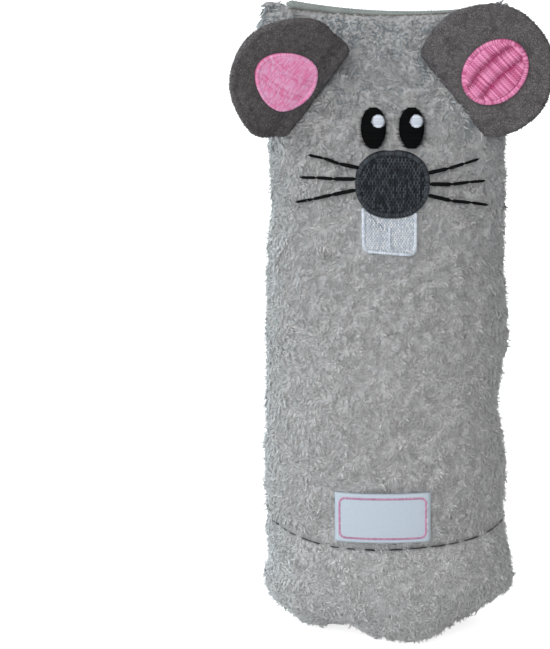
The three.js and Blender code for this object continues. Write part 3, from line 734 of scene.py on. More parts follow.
def finish_with(start, group, light, dark, values, bump, depth):
    """Drive the colour and bump of a new material from a node group with two tones."""
    material, shader = start
    tree = material.node_tree
    values = {"Light": srgb(light), "Dark": srgb(dark), **values}
    effect = add(tree, "ShaderNodeGroup", values, node_tree=group).outputs
    tree.links.new(effect["Colour"], shader.inputs["Base Color"])
    relief = add(tree, "ShaderNodeBump", {"Strength": bump, "Distance": depth, "Height": effect["Height"]})
    tree.links.new(relief.outputs["Normal"], shader.inputs["Normal"])
    return material


def fibre_material(name, light, dark, size, sheen):
    """A fuzzy cloth or loose fibre in two tones."""
    start = start_material(name, CLOTH_ROUGHNESS, sheen)
    return finish_with(start, mottle_group, light, dark, {"Size": size}, FIBRE_BUMP, size)


def thread_material(name, light, dark, roughness, shine):
    """A twisted thread in two tones."""
    start = start_material(name, roughness, shine=shine)
    return finish_with(start, twist_group, light, dark, {"Turns": THREAD_TURNS}, THREAD_BUMP, THREAD_RELIEF)


def woven_material(name, light, dark, yarn):
    """A cloth of crossing yarns that faces the front, in two tones."""
    start = start_material(name, WEAVE_ROUGHNESS, WEAVE_SHEEN)
    tree = start[0].node_tree
    place = add(tree, "ShaderNodeTexCoord").outputs["Object"]
    turned = add(tree, "ShaderNodeMapping", {"Vector": place, "Rotation": (math.pi / 2, 0, 0)}).outputs[0]
    values = {"Vector": turned, "Yarn": yarn}
    return finish_with(start, weave_group, light, dark, values, WEAVE_BUMP, WEAVE_RELIEF)


# %% The cloths and threads of the toy
# Each fibre is a light tone, a dark tone, the size of its fibres and a sheen.
FIBRES = {
    "plush_backing": ((190, 190, 191), (166, 166, 167), 0.9 * MM, 0.2),
    "ear_cloth": ((100, 96, 97), (72, 69, 70), 0.5 * MM, 0.05),
    "knit_strip": ((158, 165, 162), (132, 139, 136), 0.5 * MM, 0.2),
    "stuffing_fibre": ((238, 238, 236), (206, 206, 204), 1.2 * MM, 0.2),
    "dried_herb": ((132, 138, 82), (84, 88, 48), 1.6 * MM, 0.2),
    # The pads show in the grooves between the pink bands, and their deeper pink is painted shade there; the
    # left one is lighter, painted light for its ear.
    "pink_pad_left": ((244, 138, 186), (232, 112, 166), 0.5 * MM, 0.2),
    "pink_pad_right": ((222, 92, 152), (196, 62, 122), 0.5 * MM, 0.2),
}
# Each thread is a light tone, a dark tone, its roughness and its shine.
THREADS = {
    "black_thread": ((11, 12, 13), (2, 2, 3), 0.6, 0.05),
    # The nose thread's light tone is partly painted highlight on the crowns of its stitches, partly the
    # thread's own tone.
    "nose_thread": ((84, 90, 97), (3, 4, 6), 0.5, 0.14),
    "white_thread": ((234, 240, 248), (190, 198, 210), 0.5, PLAIN_SHINE),
    # The tooth thread's dark tone is also the teeth pad's colour: painted shade in the gaps between the
    # white stitches.
    "tooth_thread": ((255, 255, 255), (184, 194, 208), 0.5, PLAIN_SHINE),
    # The left ear's pink thread is lighter than the right's: painted light, for how each ear faces the
    # light.
    "pink_thread_left": ((255, 210, 242), (248, 121, 181), 0.45, PLAIN_SHINE),
    "pink_thread_right": ((255, 180, 220), (184, 55, 114), 0.45, PLAIN_SHINE),
    "line_thread": ((222, 168, 198), (178, 122, 156), 0.5, PLAIN_SHINE),
    "seam_thread": ((70, 67, 66), (36, 34, 34), 0.6, 0.15),
    "brown_thread": ((146, 138, 130), (112, 103, 95), 0.5, PLAIN_SHINE),
}
# Each weave is a light tone, a dark tone and the width of its yarns.
WEAVES = {
    "label_weave": ((202, 213, 224), (179, 190, 202), 0.3 * MM),
    "pouch_cloth": ((224, 216, 198), (190, 180, 160), 0.4 * MM),
}
for make, table in ((fibre_material, FIBRES), (thread_material, THREADS), (woven_material, WEAVES)):
    for look, values in table.items():
        finishes[look] = make(look, *values)
print("finishes:", ", ".join(finishes))

# %% [markdown]
# ## Thread by thread
# Embroidery is many short stitches. A bump map would look flat from the side, so every stitch is modelled,
# and one node tree makes them all: each loose edge is a stitch, and the tree bends it into an arch, sweeps
# a round section along it that thins at both ends, and maps it. Each motif says where its stitches run.


# %% Values that geometry carries
MAP_INSET = 0.04  # of a column of the map, left free at both sides
BELOW_ONE = 0.01  # keeps the lightest tone in the last column


def named(tree, name, kind="FLOAT"):
    """The values that geometry carries under a name."""
    return add(tree, "GeometryNodeInputNamedAttribute", {"Name": name}, data_type=kind).outputs[0]


def keep(tree, geometry, name, value, kind="FLOAT", domain="POINT"):
    """Geometry that carries a value under a name."""
    inputs = {"Geometry": geometry, "Name": name, "Value": value}
    return add(tree, "GeometryNodeStoreNamedAttribute", inputs, data_type=kind, domain=domain).outputs[0]


def with_map(tree, geometry, around, along):
    """Geometry with a place in the shared map: ten columns of tones, and the height along the strand."""
    inset = times_plus(tree, around, 1 - 2 * MAP_INSET, MAP_INSET)
    held = add(tree, "ShaderNodeClamp", {"Value": named(tree, "tone")}).outputs[0]
    column = calculate(tree, "FLOOR", times(tree, held, TONES - BELOW_ONE))
    across = calculate(tree, "DIVIDE", plus(tree, column, inset), float(TONES))
    place = add(tree, "ShaderNodeCombineXYZ", {"X": across, "Y": along}).outputs[0]
    return keep(tree, geometry, THREAD_MAP, place, "FLOAT2", "CORNER")


def end_tree(tree, geometry, source, target):
    """Close a tree: its geometry gets the material that the tree was given."""
    dyed = add(tree, "GeometryNodeSetMaterial", {"Geometry": geometry, "Material": source["Material"]})
    tree.links.new(dyed.outputs[0], target["Geometry"])
    return tree


# %% The stitch tree
THREAD_SIDES = 5
THREAD_STEPS = 6
BOW_FACTOR = 4.0  # carries f (1 - f) to one in the middle of a stitch
THIN_END = 0.2  # the share of a stitch over which each end thins
WELD = 0.002 * MM


def make_stitch_tree():
    """Every edge becomes one arched stitch with tapered ends."""
    inputs = SHAPE + sockets("Float", "Thickness", "Arch") + sockets("Material", "Material")
    tree, source, target = start_tree("stitches", inputs)
    curve = add(tree, "GeometryNodeMeshToCurve", {"Mesh": source["Geometry"]}).outputs[0]
    fine = add(tree, "GeometryNodeResampleCurve", {"Curve": curve, "Count": THREAD_STEPS}).outputs[0]
    factor = add(tree, "GeometryNodeSplineParameter").outputs["Factor"]
    path = keep(tree, fine, "along", factor)
    bow = times(tree, factor, calculate(tree, "SUBTRACT", 1.0, factor))
    bow = calculate(tree, "SQRT", times(tree, bow, BOW_FACTOR))
    lift = add(tree, "ShaderNodeVectorMath", {0: named(tree, "up", "FLOAT_VECTOR")}, operation="SCALE")
    plug(tree, times(tree, bow, source["Arch"]), lift.inputs["Scale"])
    arched = add(tree, "GeometryNodeSetPosition", {"Geometry": path, "Offset": lift.outputs[0]}).outputs[0]
    ring = {"Resolution": THREAD_SIDES + 1, "Radius": 1.0, "Sweep Angle": 2 * math.pi}
    circle = add(tree, "GeometryNodeCurveArc", ring).outputs[0]
    profile = keep(tree, circle, "around", add(tree, "GeometryNodeSplineParameter").outputs["Factor"])
    along = named(tree, "along")
    from_end = times(tree, calculate(tree, "PINGPONG", along, 0.5), 1 / THIN_END)
    swell = calculate(tree, "SQRT", calculate(tree, "MINIMUM", from_end, 1.0))
    half = times(tree, source["Thickness"], times(tree, named(tree, "girth"), 0.5))
    sweep = {"Curve": arched, "Profile Curve": profile, "Scale": times(tree, swell, half)}
    tube = add(tree, "GeometryNodeCurveToMesh", sweep).outputs[0]
    mapped = with_map(tree, tube, named(tree, "around"), along)
    closed = add(tree, "GeometryNodeMergeByDistance", {"Geometry": mapped, "Distance": WELD}).outputs[0]
    whole = add(tree, "GeometryNodeRealizeInstances", {"Geometry": closed}).outputs[0]
    return end_tree(tree, whole, source, target)


stitch_tree = make_stitch_tree()
print("stitch tree:", len(stitch_tree.nodes), "nodes")

# %% Sewing with the tree
STITCH_SPARE = ("up", "girth", "tone", "along", "around")


# A stitch is its start, its end, the way up and how thick it is beside the others.
# A thread is how thick it is and how far its stitches arch.
def sew(name, stitches, thread, look, nodes=(), *, seed, body="body"):
    """A piece of the toy that is made of stitches, each with a tone of its own."""
    points = [point for stitch in stitches for point in stitch[:2]]
    bare = object_from(name, points, edges=[(i, i + 1) for i in range(0, len(points), 2)])
    tones = np.random.default_rng(seed).random(len(stitches))
    store(bare, "up", np.repeat([tuple(stitch[2]) for stitch in stitches], 2, axis=0), "FLOAT_VECTOR")
    store(bare, "girth", np.repeat([stitch[3] for stitch in stitches], 2))
    store(bare, "tone", np.repeat(tones, 2))
    values = {"Thickness": thread[0], "Arch": thread[1], "Material": finishes[look]}
    mesh = grow(bare, stitch_tree, values, STITCH_SPARE)
    discard(bare)
    return dress(object_with(name, mesh), body, look, nodes)


# %% Places on the front, and the pads under the stitches
FRONT_SIDE = 0.2  # a distance in front of everything, where rays start
# Each row of a pad is how wide it is and how high, as shares, from the underside to the crown.
PAD_ROWS = (
    (0.55, 0.0),
    (1.0, 0.0),
    (1.0, 0.5),
    (0.97, 0.85),
    (0.9, 1.0),
    (0.7, 1.0),
    (0.45, 1.0),
    (0.2, 1.0),
)


def on_front(x, z, lift):
    """A place above the skin of the front, and the skin's own direction there."""
    hit, normal, _, _ = skin_tree.ray_cast(Vector((x, -FRONT_SIDE, z)), Vector((0, 1, 0)))
    return Vector((x, hit.y + lift / normal.y, z)), normal


def ring_faces(count, rows):
    """The faces of a closed form: a first point, rings of as many points each, and a last point."""
    faces = []
    last = 1 + (rows - 1) * count
    for i in range(count):
        after = (i + 1) % count
        faces.append((0, 1 + after, 1 + i))
        for low in range(1, last, count):
            faces.append((low + i, low + after, low + count + after, low + count + i))
        faces.append((last + i, last + after, last + count))
    return faces


def pad(name, outline, place, bottom, top):
    """A low closed cushion under a motif: a skirt around the outline, a rounded edge and a flat crown."""
    middle = np.mean(outline, axis=0)
    points = [place(*middle, bottom)[0]]
    for scale, share in PAD_ROWS:
        lift = mix(bottom, top, share)
        points += [place(*(middle + (np.array(point) - middle) * scale), lift)[0] for point in outline]
    points.append(place(*middle, top)[0])
    return object_from(name, points, ring_faces(len(outline), len(PAD_ROWS)))


def oval(middle, size, roundness, count=64):
    """An oval outline, running so that a pad on the front faces outwards."""
    outline = []
    for angle in round_angles(count):
        across = signed_power(math.cos(angle), 2 / roundness)
        up = signed_power(math.sin(angle), 2 / roundness)
        outline.append((middle[0] + across * size[0] / 2, middle[1] + up * size[1] / 2))
    return outline


# %% [markdown]
# ## The face
# Satin stitch runs straight across an eye. The nose is filled with columns of short stitches, set like
# bricks, inside a rim of close stitches. The teeth have upright columns inside a white border, and each
# whisker is a few long stitches. One flat patch with a picture would lack their relief, so each motif is a
# low pad with stitches over it. The solids say where each motif is.

# %% Single stitches
STITCH_LIFT = PILE_DEPTH + 0.1 * MM
SATIN = 0.5 * MM  # how thick the satin thread is
SATIN_PITCH = 0.4 * MM
LEAST_STITCH = 0.4 * MM
END_SLACK = 0.12  # how uneven the ends of stitches are, as a share of a stitch
BRICK_STEPS = 2
BRICK_SLACK = 0.1  # how far a stitch leans in its column, as a share of the column
ROUNDING = 1e-6  # keeps a stitch that ends on a step from being counted twice
FRINGE_SEED = 7
fringe = np.random.default_rng(FRINGE_SEED)


def ragged(amount):
    """A small random length, so the ends of stitches aren't in a ruled line."""
    return fringe.uniform(-amount, amount)


def stitch_on(place, start, end, lift, girth=1.0):
    """One stitch between two places of a surface, with the surface's direction as up."""
    first, up = place(*start, lift)
    last, _ = place(*end, lift)
    return first, last, up, girth


# %% Ways to lay stitches
def satin_oval(middle, size, lift, roundness, overhang, ends):
    """Stitches straight across an oval on the front, side by side, which reach a little past its edge."""
    stitches = []
    rows = int(size[1] / SATIN_PITCH)
    for row in range(rows):
        share = (row + 0.5) / rows * 2 - 1
        half = size[0] / 2 * (1 - abs(share) ** roundness) ** (1 / roundness) + overhang
        height = middle[1] + share * size[1] / 2
        start = (middle[0] - half + ragged(ends), height)
        end = (middle[0] + half + ragged(ends), height)
        stitches.append(stitch_on(on_front, start, end, lift))
    return stitches


def upright_columns(x_low, x_high, low_at, high_at, pitch, length):
    """Columns of short upright stitches between two edges on the front, set like bricks."""
    stitches = []
    count = int((x_high - x_low) / pitch)
    for column in range(count):
        x = mix(x_low, x_high, (column + 0.5) / count)
        shift = (column % BRICK_STEPS) / BRICK_STEPS * length
        z = low_at(x)
        while z < high_at(x) - LEAST_STITCH:
            step = math.floor((z - shift) / length + ROUNDING) + 1
            ahead = min(high_at(x), step * length + shift + ragged(END_SLACK * length))
            if ahead - z > LEAST_STITCH:
                end = (x + ragged(BRICK_SLACK * pitch), ahead)
                stitches.append(stitch_on(on_front, (x, z), end, STITCH_LIFT))
            z = max(ahead, z + LEAST_STITCH)
    return stitches


def across_line(points, width, lift, place=on_front, pitch=SATIN_PITCH):
    """Close stitches across a line."""
    stitches = []
    for start, end in zip(points, points[1:]):
        run = Vector((end[0] - start[0], end[1] - start[1]))
        across = Vector((-run.y, run.x)).normalized() * width / 2
        count = max(1, round(run.length / pitch))
        for step in range(count):
            spot = Vector(start) + run * ((step + 0.5) / count)
            slack = across * (1 + ragged(END_SLACK))
            stitches.append(stitch_on(place, spot - slack, spot + slack, lift))
    return stitches


# %% Lines to sew along
def drawn_in(line, distance):
    """A line whose points are moved toward its middle."""
    middle = Vector(np.mean(line, axis=0))
    return [Vector(point) + (middle - Vector(point)).normalized() * distance for point in line]


def inside_rim(outline, width):
    """A closed line that runs inside an outline, half a rim's width from it."""
    line = drawn_in(outline, width / 2)
    return line + line[:1]


def corner_arc(middle, radius, start, steps=6):
    """A quarter of a circle, from a start angle in degrees, turning left."""
    turns = [math.radians(start + 90 * step / steps) for step in range(steps + 1)]
    return [(middle[0] + radius * math.cos(turn), middle[1] + radius * math.sin(turn)) for turn in turns]


def node_oval(node):
    """The middle and size of a node as seen from the front."""
    low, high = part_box(node)
    return ((low.x + high.x) / 2, (low.z + high.z) / 2), (high.x - low.x, high.z - low.z)


PAD_SINK = -1.2 * MM
keep_clear = []  # what the pile stays clear of


def face_pad(name, outline, below, look):
    """A pad on the front whose crown lies a little below the stitches over it."""
    cushion = pad(name, outline, on_front, PAD_SINK, STITCH_LIFT - below)
    keep_clear.append(dress(cushion, "body", look))


# %% The eyes and their glints
EYE_ROUNDNESS = 2.2
EYE_INSET = 0.8 * MM  # how much smaller the pad is than the stitches over it
EYE_BELOW = 0.1 * MM
EYE_OVERHANG = 0.7 * MM
EYE_RAGGED = 0.4 * MM
EYE_THREAD = (SATIN, 0.5 * MM)
GLINT_ROUNDNESS = 2.0
GLINT_LIFT = STITCH_LIFT + 0.45 * MM
GLINT_SCALE = (1.2, 0.95)  # of its solid, because its threads thin to points and have a thickness
GLINT_RAGGED = 0.15 * MM
GLINT_THREAD = (SATIN, 0.4 * MM)

for side in SIDES:
    middle, size = node_oval(f"{side}_eye")
    inside = [length - EYE_INSET for length in size]
    face_pad(f"{side}_eye_pad", oval(middle, inside, EYE_ROUNDNESS), EYE_BELOW, "black_thread")
    rows = satin_oval(middle, size, STITCH_LIFT, EYE_ROUNDNESS, EYE_OVERHANG, EYE_RAGGED)
    sew(f"{side}_eye_satin", rows, EYE_THREAD, "black_thread", [f"{side}_eye"], seed=11)
    middle, size = node_oval(f"{side}_eye_glint")
    size = [length * scale for length, scale in zip(size, GLINT_SCALE)]
    rows = satin_oval(middle, size, GLINT_LIFT, GLINT_ROUNDNESS, 0.0, GLINT_RAGGED)
    sew(f"{side}_glint_satin", rows, GLINT_THREAD, "white_thread", [f"{side}_eye_glint"], seed=12)
print("eyes sewn")

# %% The nose
NOSE_ROUNDNESS = 2.3
NOSE_POINTS = 96
NOSE_PITCH = 0.62 * MM
NOSE_STITCH = 2.3 * MM
NOSE_BELOW = 0.2 * MM
NOSE_THREAD = (0.66 * MM, 0.3 * MM)
NOSE_RIM = 2.0 * MM
NOSE_RIM_THREAD = (SATIN, 0.7 * MM)
FILL_EDGE = NOSE_RIM - 0.3 * MM  # from the outline to where the fill starts, a little under the rim

nose_middle, nose_size = node_oval("nose_rim")


def nose_half(x, margin):
    """Half the height of the nose at a place across, less a margin all round."""
    share = min(abs(x - nose_middle[0]) / (nose_size[0] / 2 - margin), 1.0)
    return (nose_size[1] / 2 - margin) * (1 - share**NOSE_ROUNDNESS) ** (1 / NOSE_ROUNDNESS)


outline = oval(nose_middle, nose_size, NOSE_ROUNDNESS, NOSE_POINTS)
face_pad("nose_pad", outline, NOSE_BELOW, "nose_thread")
rows = upright_columns(
    nose_middle[0] - nose_size[0] / 2 + FILL_EDGE,
    nose_middle[0] + nose_size[0] / 2 - FILL_EDGE,
    lambda x: nose_middle[1] - nose_half(x, FILL_EDGE),
    lambda x: nose_middle[1] + nose_half(x, FILL_EDGE),
    NOSE_PITCH,
    NOSE_STITCH,
)
sew("nose_fill", rows, NOSE_THREAD, "nose_thread", ["nose"], seed=21)
rim = across_line(inside_rim(outline, NOSE_RIM), NOSE_RIM, STITCH_LIFT)
sew("nose_satin_rim", rim, NOSE_RIM_THREAD, "nose_thread", ["nose_rim"], seed=22)
print("nose sewn:", len(rows) + len(rim), "stitches")

# %% The outline of the teeth
TOOTH_CORNER = 2.2 * MM
TEETH_TILT = 1.6 * MM  # how much lower the right corner is than the left
TILT_MIDDLE = 0.6  # how far across the tilted edge is as low as the solid
NOSE_GAP = 0.15 * MM
TEETH_TOP_POINTS = 16

teeth_low, teeth_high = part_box("teeth_rim")


def teeth_bottom(x):
    """The lower edge of the teeth, which hangs a little lower on the right and is round at its corners."""
    share = (x - teeth_low.x) / (teeth_high.x - teeth_low.x)
    beside = max(TOOTH_CORNER - min(x - teeth_low.x, teeth_high.x - x), 0)
    lift = TOOTH_CORNER - math.sqrt(TOOTH_CORNER**2 - min(beside, TOOTH_CORNER) ** 2)
    return teeth_low.z + TEETH_TILT * (TILT_MIDDLE - share) + lift


def under_nose(x):
    """The upper edge of the teeth, just below the nose."""
    return nose_middle[1] - nose_half(x, 0) - NOSE_GAP


def teeth_edge():
    """The sides and the lower edge of the teeth, from the upper left corner to the upper right one."""
    left = teeth_low.x + TOOTH_CORNER
    right = teeth_high.x - TOOTH_CORNER
    edge = [(teeth_low.x, under_nose(teeth_low.x))]
    edge += corner_arc((left, teeth_bottom(left) + TOOTH_CORNER), TOOTH_CORNER, 180)
    edge += corner_arc((right, teeth_bottom(right) + TOOTH_CORNER), TOOTH_CORNER, 270)
    return edge + [(teeth_high.x, under_nose(teeth_high.x))]


edge = teeth_edge()
top = [(x, under_nose(x)) for x in np.linspace(teeth_high.x, teeth_low.x, TEETH_TOP_POINTS)[1:-1]]
print("teeth outline:", len(edge) + len(top), "points")

# %% The teeth
TEETH_BELOW = 0.15 * MM
TOOTH_PITCH = 0.5 * MM
TOOTH_STITCH = 1.5 * MM
TOOTH_THREAD = (0.48 * MM, 0.2 * MM)
BORDER = 1.4 * MM
BORDER_INSET = 0.4 * MM
BORDER_THREAD = (SATIN, 0.6 * MM)
DIVIDER_DROP = 1.5 * MM  # its upper end lies below the rim of the nose
DIVIDER_LIFT = STITCH_LIFT + 0.2 * MM
DIVIDER_THREAD = (SATIN, 0.5 * MM)

# The pad has no map, so it takes the thread's dark tone: painted shade between the stitches.
face_pad("teeth_pad", edge + top, TEETH_BELOW, "tooth_thread")
rows = upright_columns(
    teeth_low.x + BORDER / 2,
    teeth_high.x - BORDER / 2,
    lambda x: teeth_bottom(x) + BORDER / 2,
    under_nose,
    TOOTH_PITCH,
    TOOTH_STITCH,
)
sew("teeth_fill", rows, TOOTH_THREAD, "tooth_thread", ["left_tooth", "right_tooth"], seed=31)
border = across_line(drawn_in(edge, BORDER_INSET), BORDER, STITCH_LIFT)
sew("teeth_satin_border", border, BORDER_THREAD, "white_thread", ["teeth_rim"], seed=32)
divider_low, divider_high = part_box("teeth_divider")
divide_x = (divider_low.x + divider_high.x) / 2
divide = [(divide_x, divider_high.z - DIVIDER_DROP), (divide_x, divider_low.z)]
divider = across_line(divide, divider_high.x - divider_low.x, DIVIDER_LIFT)
sew("teeth_satin_divider", divider, DIVIDER_THREAD, "white_thread", ["teeth_divider"], seed=33)
print("teeth sewn:", len(rows) + len(border) + len(divider), "stitches")

# %% The whiskers
WHISKER_THREAD = (1.45 * MM, 0.45 * MM)
WHISKER_KNOTS = (0.0, 0.4, 0.72, 1.0)  # where its stitches meet, from the nose to its end
WHISKER_GIRTH = 1.05  # beside its thread, at the nose
WHISKER_THINNING = 0.4
WHISKER_TUCK = 1.5 * MM  # how far a whisker reaches on to the rim of the nose
WHISKER_WAVE = 0.35 * MM
WHISKER_OVERLAP = 0.12  # how far each stitch reaches past the next one's start


def whisker_ends(node):
    """The end of a whisker at the nose and its far end, as seen from the front."""
    low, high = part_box(node)
    half_thread = WHISKER_THREAD[0] / 2
    near_x, far_x = (high.x, low.x) if high.x < 0 else (low.x, high.x)
    heights = [low.z + half_thread, high.z - half_thread]
    if "lower" in node:
        heights.reverse()
    if "middle" in node:
        heights = [(low.z + high.z) / 2] * 2
    return Vector((near_x, heights[0])), Vector((far_x, heights[1]))


for node in [name for name in frame["nodes"] if name.endswith("whisker")]:
    near, far = whisker_ends(node)
    run = (far - near).normalized()
    near -= run * WHISKER_TUCK
    aside = Vector((-run.y, run.x))
    knots = [near.lerp(far, share) for share in WHISKER_KNOTS]
    knots = [knots[0]] + [knot + aside * ragged(WHISKER_WAVE) for knot in knots[1:]]
    stitches = []
    for share, start, end in zip(WHISKER_KNOTS, knots, knots[1:]):
        tucked = start.lerp(end, -WHISKER_OVERLAP), end.lerp(start, -WHISKER_OVERLAP)
        girth = WHISKER_GIRTH - WHISKER_THINNING * share
        stitches.append(stitch_on(on_front, *tucked, STITCH_LIFT, girth))
    sew(f"{node}_thread", stitches, WHISKER_THREAD, "black_thread", [node], seed=41)
print("whiskers sewn")


# %% [markdown]
# ## The ears
# Each ear is two layers of cloth sewn face to face and turned, so its rim is round and the layers meet in a
# seam. A flat sheet with a thickness would have a hard rim, so each layer is drawn as rings about its
# middle: the rim rolls over, dips at the seam allowance and fills in the centre. The straight edge goes
# down into the plush. The pink patch is three bands of satin stitch inside a rim.

# %% Sizes of the ears
EAR_RADIUS = 24.5 * MM
EAR_MIDDLE = 14.5 * MM  # from the sewn edge to the middle of the round part
EAR_ROOT = 3.2 * MM  # how far the cloth goes on below the sewn edge
ROOT_BEND = 3.0 * MM  # from the sewn edge to where the cloth starts to bend down into the plush
ROOT_REACH = 4.8 * MM
EAR_TILT = {"left": math.radians(32), "right": math.radians(6)}
EAR_CUP = {"left": 6 * MM, "right": 2 * MM}
EAR_CREASE = {"left": 1.4 * MM, "right": 0.5 * MM}  # the valley where the flap bends beside its sewn edge
CREASE_OUT = 5 * MM
CREASE_REACH = 4 * MM
FORWARD = Vector((0, -1, 0))


def smooth_step(share):
    """A soft rise from nought to one."""
    share = min(max(share, 0.0), 1.0)
    return share * share * (3 - 2 * share)


def ear_axes(side):
    """The middle of an ear's sewn edge, the direction of that edge and the direction away from the body."""
    joint = next(joint for joint in frame["joints"] if joint["name"] == f"{side}_ear_flex")
    along_hinge = Vector(joint["axis"])
    sideways = Vector((-1 if side == "left" else 1, 0, 0))
    outward = (sideways - along_hinge * sideways.dot(along_hinge)).normalized()
    return Vector(joint["pos_m"]), along_hinge, outward


def ear_place(side):
    """A function that turns a place on the flat ear, and a height above it, into a point of the toy."""
    hinge, along_hinge, outward = ear_axes(side)
    tilt = EAR_TILT[side]
    outward_now = outward * math.cos(tilt) + FORWARD * math.sin(tilt)
    facing = FORWARD * math.cos(tilt) - outward * math.sin(tilt)

    def place(out, along, height):
        curl = EAR_CUP[side] * (along / EAR_RADIUS) ** 2 * smooth_step(out / EAR_RADIUS)
        crease = EAR_CREASE[side] * math.exp(-(((out - CREASE_OUT) / CREASE_REACH) ** 2))
        root = max(ROOT_BEND - out, 0.0) ** 2 / ROOT_REACH
        point = hinge + outward_now * out + along_hinge * along + facing * (height + curl - crease - root)
        return point, facing

    return place


# %% One layer of an ear
EAR_LAYER = 1.4 * MM
EAR_PUFF = 0.7 * MM
LAYER_GAP = 0.05 * MM
SEAM_DIP = 0.3 * MM  # how deep the seam allowance shows
DIP_INSIDE = 2.6 * MM
DIP_REACH = 0.8 * MM
EAR_TRIM = {"left": 0.12, "right": 0.0}  # how much the outline is cut in beside its upper sewn corner
TRIM_ANGLE = math.radians(100)
TRIM_REACH = 0.4
CORNER_SHARPNESS = 36
EAR_WOBBLE = 0.35 * MM  # how uneven the sewn outline is
WOBBLE_WAVES = (5, 2)  # a quick and a slow wave, in turns round the ear
WOBBLE_START = 1
EAR_RINGS = (1.0, 0.99, 0.975, 0.955, 0.93, 0.9, 0.86, 0.8, 0.7, 0.58, 0.45, 0.3, 0.15)
EAR_COLUMNS = 128


def ear_outline(side):
    """The flat ear as a ring of points: round, a little uneven, and cut straight below the sewn edge."""
    outline = []
    quick, slow = WOBBLE_WAVES
    for angle in round_angles(EAR_COLUMNS):
        away = math.remainder(angle - TRIM_ANGLE, 2 * math.pi) / TRIM_REACH
        reach = EAR_RADIUS * (1 - EAR_TRIM[side] * math.exp(-away * away))
        wobble = math.sin(quick * angle + WOBBLE_START) * math.sin(slow * angle + EAR_TILT[side])
        reach += EAR_WOBBLE * wobble
        if math.cos(angle) < 0:
            straight = (EAR_MIDDLE + EAR_ROOT) / -math.cos(angle)
            reach = (reach**-CORNER_SHARPNESS + straight**-CORNER_SHARPNESS) ** (-1 / CORNER_SHARPNESS)
        outline.append((EAR_MIDDLE + reach * math.cos(angle), reach * math.sin(angle)))
    return outline


def layer_height(scale):
    """How high one layer of the ear stands above the seam, from the rim to the middle."""
    inside = (1 - scale) * EAR_RADIUS
    roll = math.sqrt(1 - (1 - min(inside / EAR_LAYER, 1)) ** 2)
    dip = SEAM_DIP * math.exp(-(((inside - DIP_INSIDE) / DIP_REACH) ** 2))
    return EAR_LAYER * roll - dip + EAR_PUFF * (1 - scale * scale)


def ear_layer(name, side, place, direction):
    """One layer of cloth: direction is 1 for the front and -1 for the back."""
    outline = np.array(ear_outline(side))
    middle = np.array([EAR_MIDDLE, 0.0])
    rows = [(scale, LAYER_GAP) for scale in reversed(EAR_RINGS)]
    rows += [(scale, layer_height(scale)) for scale in EAR_RINGS[1:]]
    points = [place(*middle, direction * LAYER_GAP)[0]]
    for scale, lift in rows:
        points += [place(*(middle + (spot - middle) * scale), direction * lift)[0] for spot in outline]
    points.append(place(*middle, direction * layer_height(0))[0])
    return object_from(name, points, ring_faces(EAR_COLUMNS, len(rows)))


# %% The cloth of the ears
EDGE_FREE = 4.5 * MM  # near the sewn edge the pile stays long and lies over the cloth
ear_sides = {}
ear_flaps = []
for side in SIDES:
    place = ear_place(side)
    root, facing = place(0, 0, 0)
    outward = (place(EAR_RADIUS, 0, 0)[0] - root).normalized()
    for layer, direction in (("front", 1), ("back", -1)):
        cloth = face_outwards(ear_layer(f"{side}_ear_{layer}_cloth", side, place, direction))
        dress(cloth, f"{side}_ear", "ear_cloth", [f"{side}_ear_{layer}"])
        ear_sides[side, layer] = (cloth, facing * direction)
    flap = some_faces(f"{side}_flap", cloth, lambda face: (face.center - root).dot(outward) > EDGE_FREE)
    ear_flaps.append(flap)
print("ear layers:", len(ear_sides))

# %% The shape of a patch
PATCH_LENGTH = 27 * MM
PATCH_WIDTH = 22 * MM
PATCH_SETBACK = 17 * MM
PATCH_SHIFT = {"left": -2 * MM, "right": 2 * MM}  # along the sewn edge, toward its lower end
PATCH_POINT = {"left": 0.14, "right": 0.0}  # how much narrower the patch is toward the ear's tip
PATCH_TURN = {"left": 0.0, "right": math.radians(-8)}
PATCH_POINTS = 64


def on_patch(side, lengthwise, across):
    """A place on the flat ear from a place on its patch, which is set off and turned a little."""
    turn = PATCH_TURN[side]
    out = PATCH_SETBACK + lengthwise * math.cos(turn) - across * math.sin(turn)
    return out, PATCH_SHIFT[side] + lengthwise * math.sin(turn) + across * math.cos(turn)


def patch_outline(side):
    """The outline of a patch on the flat ear."""
    outline = []
    for angle in round_angles(PATCH_POINTS):
        out = math.cos(angle)
        along = math.sin(angle) * (1 - PATCH_POINT[side] * out)
        outline.append(on_patch(side, out * PATCH_LENGTH / 2, along * PATCH_WIDTH / 2))
    return outline


# %% The rows of a patch
PATCH_BANDS = 3
PATCH_RIM = {"left": 1.7 * MM, "right": 2.3 * MM}
PATCH_LIFT = EAR_LAYER + EAR_PUFF
PATCH_PIECES = {"left": 3, "right": 1}  # short stitches across each band
BAND_BEND = 1.6 * MM  # how far the grooves between the bands curve
BAND_TOOTH = {"left": 1.8 * MM, "right": 1.15 * MM}  # how far the rows of two bands mesh
BAND_RAGGED = 0.25 * MM
LEAST_ROW = 4 * LEAST_STITCH
SPLIT_OVERLAP = 0.35 * MM
SPLIT_RAGGED = 0.3  # of one short stitch


def split_row(low, high, pieces):
    """One row cut into short stitches that overlap, as pairs of ends."""
    inner = [low + (high - low) * (i + ragged(SPLIT_RAGGED)) / pieces for i in range(1, pieces)]
    cuts = [low, *inner, high]
    pairs = zip(cuts, cuts[1:])
    return [(max(near - SPLIT_OVERLAP, low), min(far + SPLIT_OVERLAP, high)) for near, far in pairs]


